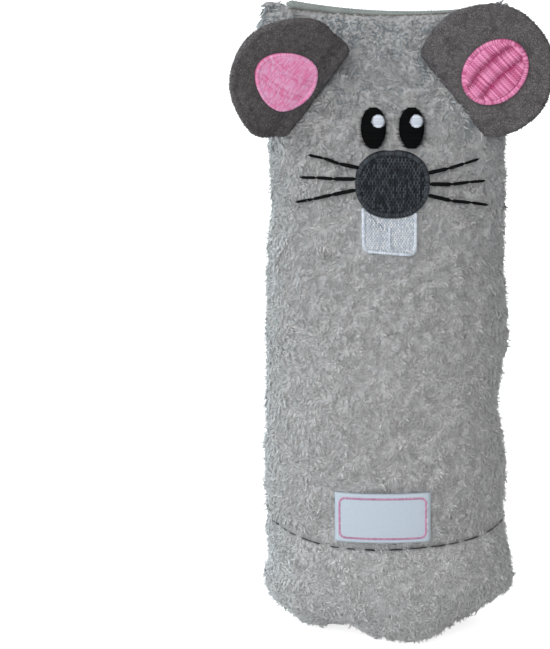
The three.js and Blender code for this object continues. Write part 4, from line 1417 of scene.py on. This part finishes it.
def band_rows(side, place):
    """Rows of short stitches across the bands of a patch, whose ends mesh where two bands meet."""
    stitches = []
    length = PATCH_LENGTH - PATCH_RIM[side]
    width = PATCH_WIDTH - PATCH_RIM[side]
    count = int(length / SATIN_PITCH)
    for row in range(count):
        share = (row + 0.5) / count * 2 - 1
        half = width / 2 * math.sqrt(1 - share * share) * (1 - PATCH_POINT[side] * share)
        bend = BAND_BEND * (share * share - 0.5)
        tooth = BAND_TOOTH[side] / 2 * (1 if row % 2 else -1)
        edges = [-half]
        for band in range(1, PATCH_BANDS):
            edges.append((band / PATCH_BANDS - 0.5) * width + bend + tooth + ragged(BAND_RAGGED))
        edges.append(half)
        edges = [min(max(edge, -half), half) for edge in edges]
        for low, high in zip(edges, edges[1:]):
            if high - low > LEAST_ROW:
                for ends in split_row(low, high, PATCH_PIECES[side]):
                    spots = [on_patch(side, share * length / 2, end) for end in ends]
                    stitches.append(stitch_on(place, *spots, PATCH_LIFT))
    return stitches


# %% The pink patches
PATCH_SINK = 1.2 * MM
PATCH_CROWN = 0.25 * MM
BAND_THREAD = {"left": (SATIN, 0.45 * MM), "right": (SATIN, 1.05 * MM)}
PATCH_RIM_THREAD = (SATIN, 0.75 * MM)

patch_pads = {}
for side in SIDES:
    ear = f"{side}_ear"
    place = ear_place(side)
    outline = patch_outline(side)
    cushion = pad(f"{side}_patch_pad", outline, place, PATCH_LIFT - PATCH_SINK, PATCH_LIFT + PATCH_CROWN)
    patch_pads[side] = dress(face_outwards(cushion), ear, f"pink_pad_{side}")
    pink = f"pink_thread_{side}"
    rows = band_rows(side, place)
    sew(f"{side}_patch_satin", rows, BAND_THREAD[side], pink, [f"{side}_ear_patch"], seed=51, body=ear)
    rim = across_line(inside_rim(outline, PATCH_RIM[side]), PATCH_RIM[side], PATCH_LIFT, place)
    sew(f"{side}_patch_rim", rim, PATCH_RIM_THREAD, pink, seed=52, body=ear)
    print(side, "patch:", len(rows) + len(rim), "stitches")

# %% [markdown]
# ## The label
# A woven label is a folded strip of ribbon: the ends are turned under and tacked down. A plain box would
# look like card, so it is a thin sheet that follows the front, rolls under at its ends and bows a little
# between them. A rounded line in pink edges it. It carries no words here.

# %% The label cloth
LABEL_TOP = PILE_DEPTH + 0.9 * MM
LABEL_BOTTOM = PILE_DEPTH - 0.9 * MM
LABEL_BOW = 0.5 * MM
LABEL_FOLD = 1.0 * MM  # the radius of the folded ends
LABEL_EDGE = 0.01 * MM  # half the thickness that is left at the very ends
LABEL_COLUMNS = 48
LABEL_ROWS = 24
label_low, label_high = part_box("label")


def label_place(x, z, lift):
    """A place on the label: it bows up between its tacked ends."""
    share = (x - label_low.x) / (label_high.x - label_low.x) * 2 - 1
    bow = LABEL_BOW * (1 - share * share)
    return on_front(x, z, lift + bow)


def label_points():
    """The points of the label, column by column: up its face and down its back."""
    points = []
    heights = [mix(label_low.z, label_high.z, row / LABEL_ROWS) for row in range(LABEL_ROWS + 1)]
    middle = (LABEL_TOP + LABEL_BOTTOM) / 2
    for column in range(LABEL_COLUMNS + 1):
        x = mix(label_low.x, label_high.x, column / LABEL_COLUMNS)
        from_end = min(x - label_low.x, label_high.x - x)
        roll = 1 - math.sqrt(1 - (1 - min(from_end / LABEL_FOLD, 1)) ** 2)
        half = (LABEL_TOP - LABEL_BOTTOM) / 2 * (1 - roll) + LABEL_EDGE
        points += [label_place(x, z, middle + half)[0] for z in heights]
        points += [label_place(x, z, middle - half)[0] for z in reversed(heights)]
    return points


def label_faces():
    """The faces of the label: round each column, and across both ends."""
    loop = 2 * (LABEL_ROWS + 1)
    faces = []
    for near in range(0, LABEL_COLUMNS * loop, loop):
        for i in range(loop):
            after = (i + 1) % loop
            faces.append((near + i, near + loop + i, near + loop + after, near + after))
    for near in (0, LABEL_COLUMNS * loop):
        for row in range(LABEL_ROWS):
            faces.append((near + row, near + row + 1, near + loop - 2 - row, near + loop - 1 - row))
    return faces


label = face_outwards(object_from("label_cloth", label_points(), label_faces()))
keep_clear.append(dress(label, "body", "label_weave", ["label"]))
print("label:", len(label.data.polygons), "faces")

# %% The label's pink line and tacks
LINE_INSET = (1.8 * MM, 1.75 * MM)
LINE_WIDTH = 1.0 * MM
LINE_CORNER = 2.2 * MM
LINE_PITCH = 0.3 * MM
LINE_LIFT = LABEL_TOP - 0.08 * MM
LINE_THREAD = (0.34 * MM, 0.14 * MM)
TACK_LENGTH = 2.2 * MM
TACK_GAP = 0.7 * MM
TACK_LIFT = LABEL_TOP - 0.05 * MM
TACK_THREAD = (0.4 * MM, 0.2 * MM)

low = (label_low.x + LINE_INSET[0] + LINE_CORNER, label_low.z + LINE_INSET[1] + LINE_CORNER)
high = (label_high.x - LINE_INSET[0] - LINE_CORNER, label_high.z - LINE_INSET[1] - LINE_CORNER)
path = corner_arc(high, LINE_CORNER, 0) + corner_arc((low[0], high[1]), LINE_CORNER, 90)
path += corner_arc(low, LINE_CORNER, 180) + corner_arc((high[0], low[1]), LINE_CORNER, 270)
path.append(path[0])
line = across_line(path, LINE_WIDTH, LINE_LIFT, label_place, LINE_PITCH)
sew("label_pink_line", line, LINE_THREAD, "line_thread", seed=61)

for side in SIDES:
    node = f"label_{side}_stitching"
    tack_low, tack_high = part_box(node)
    x = (tack_low.x + tack_high.x) / 2
    z = tack_low.z
    stitches = []
    while z + TACK_LENGTH < tack_high.z:
        stitches.append(stitch_on(label_place, (x, z), (x, z + TACK_LENGTH), TACK_LIFT))
        z += TACK_LENGTH + TACK_GAP
    sew(f"{node}_thread", stitches, TACK_THREAD, "white_thread", [node], seed=62)
print("label line:", len(line), "stitches")

# %% [markdown]
# ## The base seam and the top strip
# A dark thread closes the base: it shows as dashes in the groove between the tufts, so each dash is one
# stitch. Along the top, a folded strip of the knitted backing shows between the two plush panels, with a
# brown thread below it. The strip follows the sewn edge, so it is made of rings along that edge.

# %% The dashes of the base seam
DASH_LENGTH = 4.4 * MM
DASH_GAP = 1.1 * MM
DASH_LIFT = 0.95 * MM
DASH_THREAD = (0.56 * MM, 0.3 * MM)
DASH_SHIFT = 0.15  # how unevenly the dashes are set, as a share of one
DASH_STRETCH = 0.4  # how uneven their length is
DASH_SWELL = 0.2  # how uneven their thickness is
COVERED_LIFT = -0.2 * MM  # at the left end, where the pile covers the seam
COVERED_LEFT = -38 * MM
SEAM_WAVE = 0.5 * MM
SEAM_WAVES = 5
SEAM_WAVE_START = 0.6
RAY_START = 2  # times the seam's own half sizes


def seam_spot(angle):
    """A place in the groove of the base seam, which wavers a little, and the skin's direction there."""
    across, back = section_point(angle)
    z = seam_height(across) + SEAM_WAVE * math.sin(SEAM_WAVES * angle + SEAM_WAVE_START)
    aim = Vector((across * SEAM_HALF[0], back * SEAM_HALF[1], 0))
    hit, normal, _, _ = skin_tree.ray_cast(aim * RAY_START + Vector((0, 0, z)), -aim.normalized())
    covered = across * SEAM_HALF[0] < COVERED_LEFT
    return hit + normal * (COVERED_LIFT if covered else DASH_LIFT), normal


seam_girth = math.pi * (SEAM_HALF[0] + SEAM_HALF[1])
dash_count = int(seam_girth / (DASH_LENGTH + DASH_GAP))
stitches = []
for dash in range(dash_count):
    angle = 2 * math.pi * (dash + ragged(DASH_SHIFT)) / dash_count
    span = 2 * math.pi * DASH_LENGTH / seam_girth * (1 + ragged(DASH_STRETCH))
    start, up = seam_spot(angle)
    stitches.append((start, seam_spot(angle + span)[0], up, 1 + ragged(DASH_SWELL)))
seam = sew("base_seam_dashes", stitches, DASH_THREAD, "seam_thread", ["base_seam_thread"], seed=71)
print("base seam:", dash_count, "dashes")

# %% The knitted strip
STRIP_STEPS = 120
STRIP_SIDES = 14
STRIP_TALL = (1.6 * MM, 0.4 * MM)  # half its height at the left end and at the right end
STRIP_LIFT = (1.7 * MM, 0.3 * MM)  # how far it stands above the edge at the two ends
STRIP_END = 0.25  # how thick its very ends are beside the rest
STRIP_END_STEPS = 4
RIB_PITCH = 1.2 * MM
RIB_HEIGHT = 0.1 * MM
strip_low, strip_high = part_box("top_seam_strip")


def strip_points():
    """A folded strip along the top edge with fine ribs, as rings between two end points."""
    half_thick = (strip_high.y - strip_low.y) / 2
    points = []
    for step in range(STRIP_STEPS + 1):
        share = step / STRIP_STEPS
        x = mix(strip_low.x, strip_high.x, share)
        z = top_height(x / TOP_HALF[0]) + mix(*STRIP_LIFT, share)
        rib = RIB_HEIGHT * math.sin(2 * math.pi * x / RIB_PITCH)
        ends = min(1.0, STRIP_END + min(step, STRIP_STEPS - step) / STRIP_END_STEPS)
        thick = (half_thick + rib) * ends
        tall = (mix(*STRIP_TALL, share) + rib) * ends
        if step == 0:
            points.append((x, 0, z))
        for turn in round_angles(STRIP_SIDES):
            points.append((x, thick * math.cos(turn), z + tall * math.sin(turn)))
    points.append((x, 0, z))
    return points


strip = object_from("top_strip_knit", strip_points(), ring_faces(STRIP_SIDES, STRIP_STEPS + 1))
dress(face_outwards(strip), "body", "knit_strip", ["top_seam_strip"])
print("top strip:", len(strip.data.polygons), "faces")

# %% The brown stitches below the strip
BROWN_STITCH = 2.6 * MM
BROWN_GAP = 0.5 * MM
BROWN_OUT = 0.1 * MM
BROWN_RISE = 0.4 * MM
BROWN_THREAD = (0.4 * MM, 0.1 * MM)


def on_top_edge(x):
    """A place in front of the strip's lower edge."""
    return Vector((x, strip_low.y - BROWN_OUT, top_height(x / TOP_HALF[0]) + BROWN_RISE))


stitches = []
x = strip_low.x + BROWN_GAP
while x + BROWN_STITCH < strip_high.x:
    stitches.append((on_top_edge(x), on_top_edge(x + BROWN_STITCH), FORWARD, 1.0))
    x += BROWN_STITCH + BROWN_GAP
sew("top_seam_stitches", stitches, BROWN_THREAD, "brown_thread", seed=81)
print("below the strip:", len(stitches), "stitches")

# %% [markdown]
# ## The plush panels
# The skin is cut along its seams into the panels that a maker would sew, and each gets the thickness of its
# knitted backing. Panels modelled one by one would leave gaps at the seams, and cuts from one skin can't.
# The pile is separate and grows out of these panels.

# %% Cut the panels
BACKING_THICKNESS = 1.0 * MM
face_panel = [item.value for item in skin.data.attributes["panel"].data]
PANELS = (
    ("foot_plush", FOOT, "base_panel"),
    ("base_plush", BASE, "base_band"),
    ("front_plush", FRONT, "front_panel"),
    ("back_plush", BACK, "back_panel"),
)
for name, number, node in PANELS:
    panel = some_faces(name, skin, lambda face: face_panel[face.index] == number)
    wall = panel.modifiers.new("backing", "SOLIDIFY")
    wall.thickness = BACKING_THICKNESS
    wall.offset = -1
    dress(apply_modifiers(panel), "body", "plush_backing", [node])
    print(name, len(panel.data.polygons), "faces")

# %% [markdown]
# ## The pile and the nap
# Plush is tens of thousands of fine soft locks. Hair has no faces, so a handful of flat lock
# shapes is scattered over each panel by one node tree instead. Neighbouring locks lean the same way, from a
# slow noise, so they lie in tufts, and they are shaded mostly like the skin below them, as soft fibre is.
# Locks are left out under the embroidery and shortened beside it, the ears and the base seam. The same tree
# gives the ears their short nap.

# %% The form of a lock
LOCK_SIDES = 3
LOCK_TURNS = (0.7, 1.3)  # half waves along a lock
LEAN_POWER = 1.2  # how late a lock leans over
ROOT_DEPTH = 0.3 * MM
BELLY = (0.75, 0.45)  # its width at the ends, and how much wider its middle is
TIP_THINNING = 0.85
TIP_POWER = 2.5  # how late a lock thins to its tip
FLATNESS = 0.6
LOCK_SEED = 2024
lock_rng = np.random.default_rng(LOCK_SEED)


def lock_points(rings, reach, rise, droop, curl, width):
    """Rings of points: a lock rises from the backing, leans over along X, curls and thins to its tip."""
    turns = lock_rng.uniform(*LOCK_TURNS)
    phase = lock_rng.uniform(0, 2 * math.pi)
    points = []
    for ring in range(rings):
        share = ring / (rings - 1)
        x = reach * share**LEAN_POWER
        y = curl * (math.sin(math.pi * turns * share + phase) - math.sin(phase))
        z = rise * (1 - (1 - share) ** 2) * (1 - droop * share * share) - ROOT_DEPTH * (1 - share)
        full = width * (BELLY[0] + BELLY[1] * math.sin(math.pi * share))
        half = full * (1 - TIP_THINNING * share**TIP_POWER)
        for angle in round_angles(LOCK_SIDES):
            turn = angle + math.pi / 2
            points.append((x, y + half * math.cos(turn), z + FLATNESS * half * math.sin(turn)))
    return points


def lock_faces(rings):
    """The faces of a lock: its two ends, and strips from ring to ring."""
    last = (rings - 1) * LOCK_SIDES
    faces = [tuple(range(LOCK_SIDES)), tuple(range(last, last + LOCK_SIDES))]
    for near in range(0, last, LOCK_SIDES):
        for side in range(LOCK_SIDES):
            after = (side + 1) % LOCK_SIDES
            faces.append((near + side, near + after, near + LOCK_SIDES + after, near + LOCK_SIDES + side))
    return faces


def map_lock(lock, rings):
    """Give a lock a map: across it, and along it from its root to its tip."""
    spread = lock.data.uv_layers.new(name="lock")
    for face in lock.data.polygons:
        sides = [vertex % LOCK_SIDES for vertex in face.vertices]
        wraps = 0 in sides and LOCK_SIDES - 1 in sides and len(set(sides)) == 2
        for corner, vertex in zip(face.loop_indices, face.vertices):
            side = vertex % LOCK_SIDES
            across = (side + (LOCK_SIDES if wraps and side == 0 else 0)) / LOCK_SIDES
            spread.data[corner].uv = (across, (vertex // LOCK_SIDES) / (rings - 1))


# %% The lock shapes
LOCK_KINDS = 10
STRAY_KINDS = 2  # the last kinds are thin hairs that stand up
NAP_KINDS = 4
LOCK_RINGS = 5
NAP_RINGS = 3
# Each row has the ranges of reach, rise, droop, curl and width. The droop is a share, the rest is in mm.
LOCK_SIZES = ((1.7, 3.0), (0.6, 1.1), (0.25, 0.55), (0.3, 0.8), (0.36, 0.52))
STRAY_SIZES = ((1.2, 2.0), (1.6, 2.3), (0.05, 0.2), (0.3, 0.6), (0.16, 0.22))
NAP_SIZES = ((0.7, 1.3), (0.3, 0.5), 0.4, (0.05, 0.2), (0.16, 0.24))  # every nap droops alike


def make_lock(name, rings, reach, rise, droop, curl, width):
    """One lock with sizes drawn from their ranges, in the order that they are named."""
    drawn = [lock_rng.uniform(*reach) * MM, lock_rng.uniform(*rise) * MM]
    drawn.append(lock_rng.uniform(*droop) if isinstance(droop, tuple) else droop)
    drawn += [lock_rng.uniform(*curl) * MM, lock_rng.uniform(*width) * MM]
    lock = face_outwards(object_from(name, lock_points(rings, *drawn), lock_faces(rings)))
    map_lock(lock, rings)
    return lock


def shapes_collection(name, shapes):
    """A collection of shapes for a tree to pick from. They leave the scene's own collection."""
    group = bpy.data.collections.new(name)
    for shape in shapes:
        scene.collection.objects.unlink(shape)
        group.objects.link(shape)
    return group


locks = []
for kind in range(LOCK_KINDS):
    is_stray = kind >= LOCK_KINDS - STRAY_KINDS
    locks.append(make_lock(f"lock_{kind}", LOCK_RINGS, *(STRAY_SIZES if is_stray else LOCK_SIZES)))
    if is_stray:
        store(locks[-1], "stray", np.ones(len(locks[-1].data.vertices)))
naps = [make_lock(f"nap_{kind}", NAP_RINGS, *NAP_SIZES) for kind in range(NAP_KINDS)]
lock_shapes = shapes_collection("lock_shapes", locks)
nap_shapes = shapes_collection("nap_shapes", naps)
print("triangles of a lock:", triangles(locks[0].data), "and of a nap:", triangles(naps[0].data))

# %% The materials of the strands
STRAND_SHINE = 0.05
TIP_LIGHT = 1.03  # beside a strand's own tone
# The darkest, coolest tone is what the painted shade on the upper body reaches toward.
PILE_TONES = ((130, 141, 148), (192, 191, 191), (224, 220, 219), (241, 239, 239))
NAP_TONES = ((66, 63, 64), (106, 102, 103), (132, 127, 129))
# A strand's root is painted darker than its tip: painted shade deep among the strands.
# Each is its tones from dark to light, how light its root is, its sheen and how far light goes into it.
STRANDS = {"plush_pile": (PILE_TONES, 0.86, 0.3, 1.2 * MM), "ear_nap": (NAP_TONES, 0.85, 0.0, 0.0)}


def strand_material(name, tones, root, sheen, through):
    """Strands in tones from dark to light, darker at the root with painted shade, that let light through
    for a distance.
    """
    material, shader = start_material(name, CLOTH_ROUGHNESS, sheen, STRAND_SHINE)
    shader.inputs["Subsurface Weight"].default_value = 1.0 if through else 0.0
    shader.inputs["Subsurface Radius"].default_value = (1.0, 1.0, 1.0)
    shader.inputs["Subsurface Scale"].default_value = through
    tree = material.node_tree
    place = axes_of(tree, add(tree, "ShaderNodeUVMap", uv_map=THREAD_MAP).outputs["UV"])
    shades = add(tree, "ShaderNodeValToRGB", {0: place["X"]})
    stops = shades.color_ramp.elements
    stops[0].color = srgb(tones[0])
    stops[1].color = srgb(tones[-1])
    for step, tone in enumerate(tones[1:-1], 1):
        stops.new(step / (len(tones) - 1)).color = srgb(tone)
    lit = add(tree, "ShaderNodeVectorMath", {0: shades.outputs[0]}, operation="SCALE")
    plug(tree, remap(tree, place["Y"], 0.0, 1.0, root, TIP_LIGHT), lit.inputs["Scale"])
    tree.links.new(lit.outputs[0], shader.inputs["Base Color"])
    return material


for look, values in STRANDS.items():
    finishes[look] = strand_material(look, *values)
print("strand finishes:", ", ".join(STRANDS))

# %% How a lock leans, how long it is and how dark
LEAN_SPREAD = 1.4  # in radians, to either side of its tuft
LEAN_DETAIL = 1.0
CLUMP_SCALE = 2.2  # of the tufts' own scale
CLUMP_SIZES = (0.3, 0.7, 0.93, 1.07)  # a range of the noise, and the range of sizes that it gives
OWN_SIZES = (0.85, 1.15)
SHORTEST = 0.4
CLUMP_TONES = (0.25, 0.75, -1.0, 1.0)  # a range of the noise, and the range of tones that it gives
# Painted shade: above a height, the pile's tone is made darker over this span, down to the deepest shade.
PAINTED_SHADE_SPAN = 145 * MM  # over this height the pile grows darker, as it does in the photograph
DEEPEST_PAINTED_SHADE = -0.5
LEAN_SEED = 3
SIZE_SEED = 4
TONE_SEED = 6


def chance(tree, low, high, seed):
    """A random number for each element."""
    limits = {2: low, 3: high, "Seed": seed}
    return add(tree, "FunctionNodeRandomValue", limits, data_type="FLOAT").outputs[1]


def distance_to(tree, thing):
    """How far each point is from another object."""
    other = add(tree, "GeometryNodeObjectInfo", {"Object": thing}).outputs["Geometry"]
    return add(tree, "GeometryNodeProximity", {0: other}, target_element="FACES").outputs["Distance"]


def lock_lean(tree, source, spot, slow, upright):
    """The way a lock lies: with its tuft, and a little its own way."""
    swirl = times(tree, cloud(tree, spot, slow, LEAN_DETAIL), source["Swirl"])
    swirl = plus(tree, swirl, chance(tree, -LEAN_SPREAD, LEAN_SPREAD, LEAN_SEED))
    lean = add(tree, "FunctionNodeAxisAngleToRotation", {"Axis": (0, 0, 1), "Angle": swirl}).outputs[0]
    turns = {"Rotation": upright, "Rotate By": lean}
    return add(tree, "FunctionNodeRotateRotation", turns, rotation_space="LOCAL").outputs[0]


def lock_size(tree, source, clump, near):
    """How long a lock is: with its clump, a little its own way, and shorter beside what is sewn on."""
    size = times(tree, remap(tree, clump, *CLUMP_SIZES), chance(tree, *OWN_SIZES, SIZE_SEED))
    size = times(tree, size, source["Size"])
    return times(tree, size, remap(tree, near, 0.0, source["Short Reach"], SHORTEST, 1.0))


def lock_tone(tree, source, clump, spot):
    """How light a lock is: darker high up with painted shade, and with its clump, and a little its own way.
    """
    start = source["Dark Above"]
    shade = remap(tree, axes_of(tree, spot)["Z"], start, plus(tree, start, PAINTED_SHADE_SPAN), 0.0, DEEPEST_PAINTED_SHADE)
    tone = plus(tree, source["Tone"], shade)
    tone = plus(tree, tone, times(tree, remap(tree, clump, *CLUMP_TONES), source["Clump Spread"]))
    return plus(tree, tone, times(tree, chance(tree, -1.0, 1.0, TONE_SEED), source["Tone Spread"]))


# %% How the strands rest and take the light
LOWEST = 0.15 * MM  # above the floor
STRAY_CRISPNESS = 0.6  # how much less a stray hair is shaded like the skin


def rest_on_floor(tree, geometry):
    """Strands of which none goes below the floor."""
    now = axes_of(tree, add(tree, "GeometryNodeInputPosition").outputs[0])
    above = calculate(tree, "MAXIMUM", now["Z"], LOWEST)
    rested = add(tree, "ShaderNodeCombineXYZ", {"X": now["X"], "Y": now["Y"], "Z": above}).outputs[0]
    return add(tree, "GeometryNodeSetPosition", {"Geometry": geometry, "Position": rested}).outputs[0]


def shade_like_skin(tree, source, geometry):
    """Strands whose normals are mixed with those of the skin below them."""
    alike = times_plus(tree, named(tree, "stray"), -STRAY_CRISPNESS, 1.0)
    own_way = add(tree, "GeometryNodeInputNormal").outputs[0]
    skin_way = named(tree, "skin_way", "FLOAT_VECTOR")
    ways = {0: times(tree, source["Softness"], alike), 4: own_way, 5: skin_way}
    way = add(tree, "ShaderNodeMix", ways, data_type="VECTOR").outputs[1]
    soft = add(tree, "GeometryNodeSetShadeSmooth", {"Geometry": geometry}).outputs[0]
    normals = {"Mesh": soft, "Custom Normal": way}
    return add(tree, "GeometryNodeSetMeshNormal", normals, mode="FREE", domain="POINT").outputs[0]


# %% The pile tree
PILE_SIZES = ("Spacing", "Density", "Size", "Tuft", "Swirl", "Softness", "Covered Margin", "Short Reach")
PILE_SHADES = ("Tone", "Tone Spread", "Clump Spread", "Dark Above")
STRAND_SPARE = ("tone", "lock", "skin_way", "stray")
CLUMP_DETAIL = 0.0
KIND_SEED = 5


def make_pile_tree():
    """Scatter locks over a surface, laid in tufts and kept clear of what is sewn on."""
    inputs = SHAPE + sockets("Float", *PILE_SIZES, *PILE_SHADES) + sockets("Int", "Seed")
    inputs += sockets("Object", "Covered", "Short Beside")
    inputs += sockets("Collection", "Locks") + sockets("Material", "Material")
    tree, source, target = start_tree("pile", inputs)
    amounts = {"Distance Min": source["Spacing"], "Density Max": source["Density"], "Seed": source["Seed"]}
    scatter = add(tree, "GeometryNodeDistributePointsOnFaces", amounts, distribute_method="POISSON")
    plug(tree, source["Geometry"], scatter.inputs["Mesh"])
    gap = distance_to(tree, source["Covered"])
    limits = {0: gap, 1: source["Covered Margin"]}
    under = add(tree, "FunctionNodeCompare", limits, data_type="FLOAT", operation="LESS_THAN").outputs[0]
    covered = {"Geometry": scatter.outputs["Points"], "Selection": under}
    points = add(tree, "GeometryNodeDeleteGeometry", covered, domain="POINT").outputs[0]
    spot = add(tree, "GeometryNodeInputPosition").outputs[0]
    slow = calculate(tree, "DIVIDE", 1.0, source["Tuft"])
    clump = cloud(tree, spot, times(tree, slow, CLUMP_SCALE), CLUMP_DETAIL)
    near = calculate(tree, "MINIMUM", gap, distance_to(tree, source["Short Beside"]))
    points = keep(tree, points, "tone", lock_tone(tree, source, clump, spot))
    points = keep(tree, points, "skin_way", scatter.outputs["Normal"], "FLOAT_VECTOR")
    # The nap has fewer kinds: a number past its last one starts again at its first.
    kinds = {4: 0, 5: LOCK_KINDS - 1, "Seed": KIND_SEED}
    pick = {"Collection": source["Locks"], "Separate Children": True, "Reset Children": True}
    choices = {
        "Points": points,
        "Instance": add(tree, "GeometryNodeCollectionInfo", pick).outputs[0],
        "Pick Instance": True,
        "Instance Index": add(tree, "FunctionNodeRandomValue", kinds, data_type="INT").outputs[2],
        "Rotation": lock_lean(tree, source, spot, slow, scatter.outputs["Rotation"]),
        "Scale": lock_size(tree, source, clump, near),
    }
    placed = add(tree, "GeometryNodeInstanceOnPoints", choices).outputs[0]
    whole = add(tree, "GeometryNodeRealizeInstances", {"Geometry": placed}).outputs[0]
    place = axes_of(tree, named(tree, "lock", "FLOAT_VECTOR"))
    mapped = with_map(tree, whole, place["X"], place["Y"])
    lit = shade_like_skin(tree, source, rest_on_floor(tree, mapped))
    return end_tree(tree, lit, source, target)


pile_tree = make_pile_tree()
print("pile tree:", len(pile_tree.nodes), "nodes")


# %% Growing strands with the tree
def grow_strands(name, patch, body, look, values):
    """Cover an open surface with strands, let the surface go and return how many triangles it took."""
    mesh = grow(patch, pile_tree, {**values, "Material": finishes[look]}, STRAND_SPARE)
    discard(patch)
    dress(object_with(name, mesh), body, look)
    print(name, triangles(mesh), "triangles")
    return triangles(mesh)


# %% Grow the pile
PILE = {
    "Spacing": 0.74 * MM,
    "Size": 1.0,
    "Density": 4.0e6,  # tries per square metre before close ones are dropped
    "Tuft": 11 * MM,
    "Swirl": 3 * math.pi,
    "Softness": 0.94,  # how far a lock is shaded like the skin under it
    "Tone": 0.62,
    "Tone Spread": 0.06,
    "Clump Spread": 0.12,
    "Dark Above": 95 * MM,
    "Locks": lock_shapes,
    "Covered": joined("covers", keep_clear),
    "Covered Margin": 0.6 * MM,
    "Short Beside": joined("beside", [seam, strip] + ear_flaps),
    "Short Reach": 3.0 * MM,
}
# Painted light: the pile of the bulging base is made lighter, for the light that falls on it.
BASE_PAINTED_LIGHT = 0.34  # how much lighter the pile of the base is
Y_AXIS, Z_AXIS = 1, 2
# Each panel's pile is cut into bands along an axis, so that no piece has too many triangles.
PILE_BANDS = (
    ("front_pile", FRONT, Z_AXIS, 4),
    ("back_pile", BACK, Z_AXIS, 4),
    ("base_pile", BASE, Y_AXIS, 2),
)

total = 0
seed = 0
for stem, number, axis, bands in PILE_BANDS:
    centres = [face.center[axis] for face in skin.data.polygons if face_panel[face.index] == number]
    cuts = np.linspace(min(centres) - MM, max(centres) + MM, bands + 1)
    tone = PILE["Tone"] + (BASE_PAINTED_LIGHT if number == BASE else 0.0)
    for band, (low, high) in enumerate(zip(cuts, cuts[1:]), 1):
        in_band = lambda face: face_panel[face.index] == number and low <= face.center[axis] < high
        patch = some_faces(f"{stem}_{band}", skin, in_band)
        values = {**PILE, "Seed": seed, "Tone": tone}
        total += grow_strands(f"{stem}_{band}", patch, "body", "plush_pile", values)
        seed += 1
print("pile triangles:", total)

# %% The long pile beside the ears
EDGE_BAND = (-5.0 * MM, -0.3 * MM)  # beside an ear's sewn edge, on the side of the face
EDGE_SPAN = 18 * MM
EDGE_PILE = {**PILE, "Seed": 31, "Size": 1.5, "Spacing": 0.9 * MM, "Short Beside": PILE["Covered"]}


def beside_ear(face, side):
    """Whether a face of the front is beside the sewn edge of an ear."""
    hinge, along_hinge, outward = ear_axes(side)
    away = face.center - hinge
    in_band = EDGE_BAND[0] < away.dot(outward) < EDGE_BAND[1]
    return face_panel[face.index] == FRONT and in_band and abs(away.dot(along_hinge)) < EDGE_SPAN


for side in SIDES:
    name = f"{side}_ear_edge_pile"
    patch = some_faces(name, skin, lambda face: beside_ear(face, side))
    total += grow_strands(name, patch, "body", "plush_pile", EDGE_PILE)
print("pile triangles with the edges:", total)

# %% Grow the nap of the ears
NAP = {
    "Spacing": 0.46 * MM,
    "Size": 1.0,
    "Density": 9.0e6,
    "Seed": 21,
    "Tuft": 4 * MM,
    "Swirl": 2 * math.pi,
    "Softness": 0.8,
    "Tone Spread": 0.3,
    "Clump Spread": 1.0,
    "Dark Above": 1000 * MM,  # far above the toy, so the nap doesn't grow darker
    "Locks": nap_shapes,
    "Covered Margin": 0.5 * MM,
    "Short Reach": 0.8 * MM,
}
# The right ear's nap is lighter than the left's: painted light and shade, for how each ear faces the light.
NAP_TONE_AND_PAINTED_LIGHT = {"left": 0.65, "right": 0.84}
NAP_FACING = -0.2  # a layer's nap goes round its rim, as far as faces that look this far back
for (side, layer), (cloth, facing) in ear_sides.items():
    name = f"{side}_ear_{layer}_nap"
    patch = some_faces(name, cloth, lambda face: face.normal.dot(facing) > NAP_FACING)
    values = {**NAP, "Tone": NAP_TONE_AND_PAINTED_LIGHT[side], "Covered": patch_pads[side], "Short Beside": patch_pads[side]}
    total += grow_strands(name, patch, f"{side}_ear", "ear_nap", values)
print("strand triangles:", total)

# %% Let the helpers go
for helper in [PILE["Covered"], PILE["Short Beside"], skin] + ear_flaps + locks + naps:
    discard(helper)
for group in (lock_shapes, nap_shapes):
    bpy.data.collections.remove(group)

# %% [markdown]
# ## What is inside
# The stuffing is loose fibre that takes the shape of the skin around it. A wad could be scaled down to fit,
# but the skin is dented, so each wad is drawn in to stay inside it, dents and all. The sachet of dried herb
# keeps its solids, and each gets a finish.

# %% The stuffing
STUFFING_GAP = BACKING_THICKNESS + 1.2 * MM
WAD_VOXEL = 3.0 * MM


def wad_from(node):
    """A copy of a filling's solid, remeshed evenly and pressed inside the skin."""
    wad = object_with(f"{node}_wad", frame["nodes"][node].data.copy())
    even = wad.modifiers.new("even", "REMESH")
    even.mode = "VOXEL"
    even.voxel_size = WAD_VOXEL
    apply_modifiers(wad)
    for vertex in wad.data.vertices:
        hit, normal, _, _ = skin_tree.find_nearest(vertex.co)
        outside = (vertex.co - hit).dot(normal) + STUFFING_GAP
        if outside > 0:
            vertex.co -= normal * outside
    return wad


for node in ("front_filling", "back_filling", "base_filling"):
    wad = dress(wad_from(node), "body", "stuffing_fibre", [node])
    print(wad.name, len(wad.data.polygons), "faces")

# %% The sachet
SACHET = {"sachet_front": "pouch_cloth", "sachet_back": "pouch_cloth", "dried_catnip": "dried_herb"}
for node, look in SACHET.items():
    solid = frame["nodes"][node]
    solid.data.materials.clear()
    solid.data.materials.append(finishes[look])
print("pieces of the sachet:", len(SACHET))

# %% [markdown]
# ## Triangles
# The triangles of every mesh in the scene are counted and printed.

# %% Count the triangles
bpy.context.view_layer.update()
made = [piece for piece in scene.objects if piece.type == "MESH"]
print("triangles:", sum(triangles(piece.data) for piece in made))
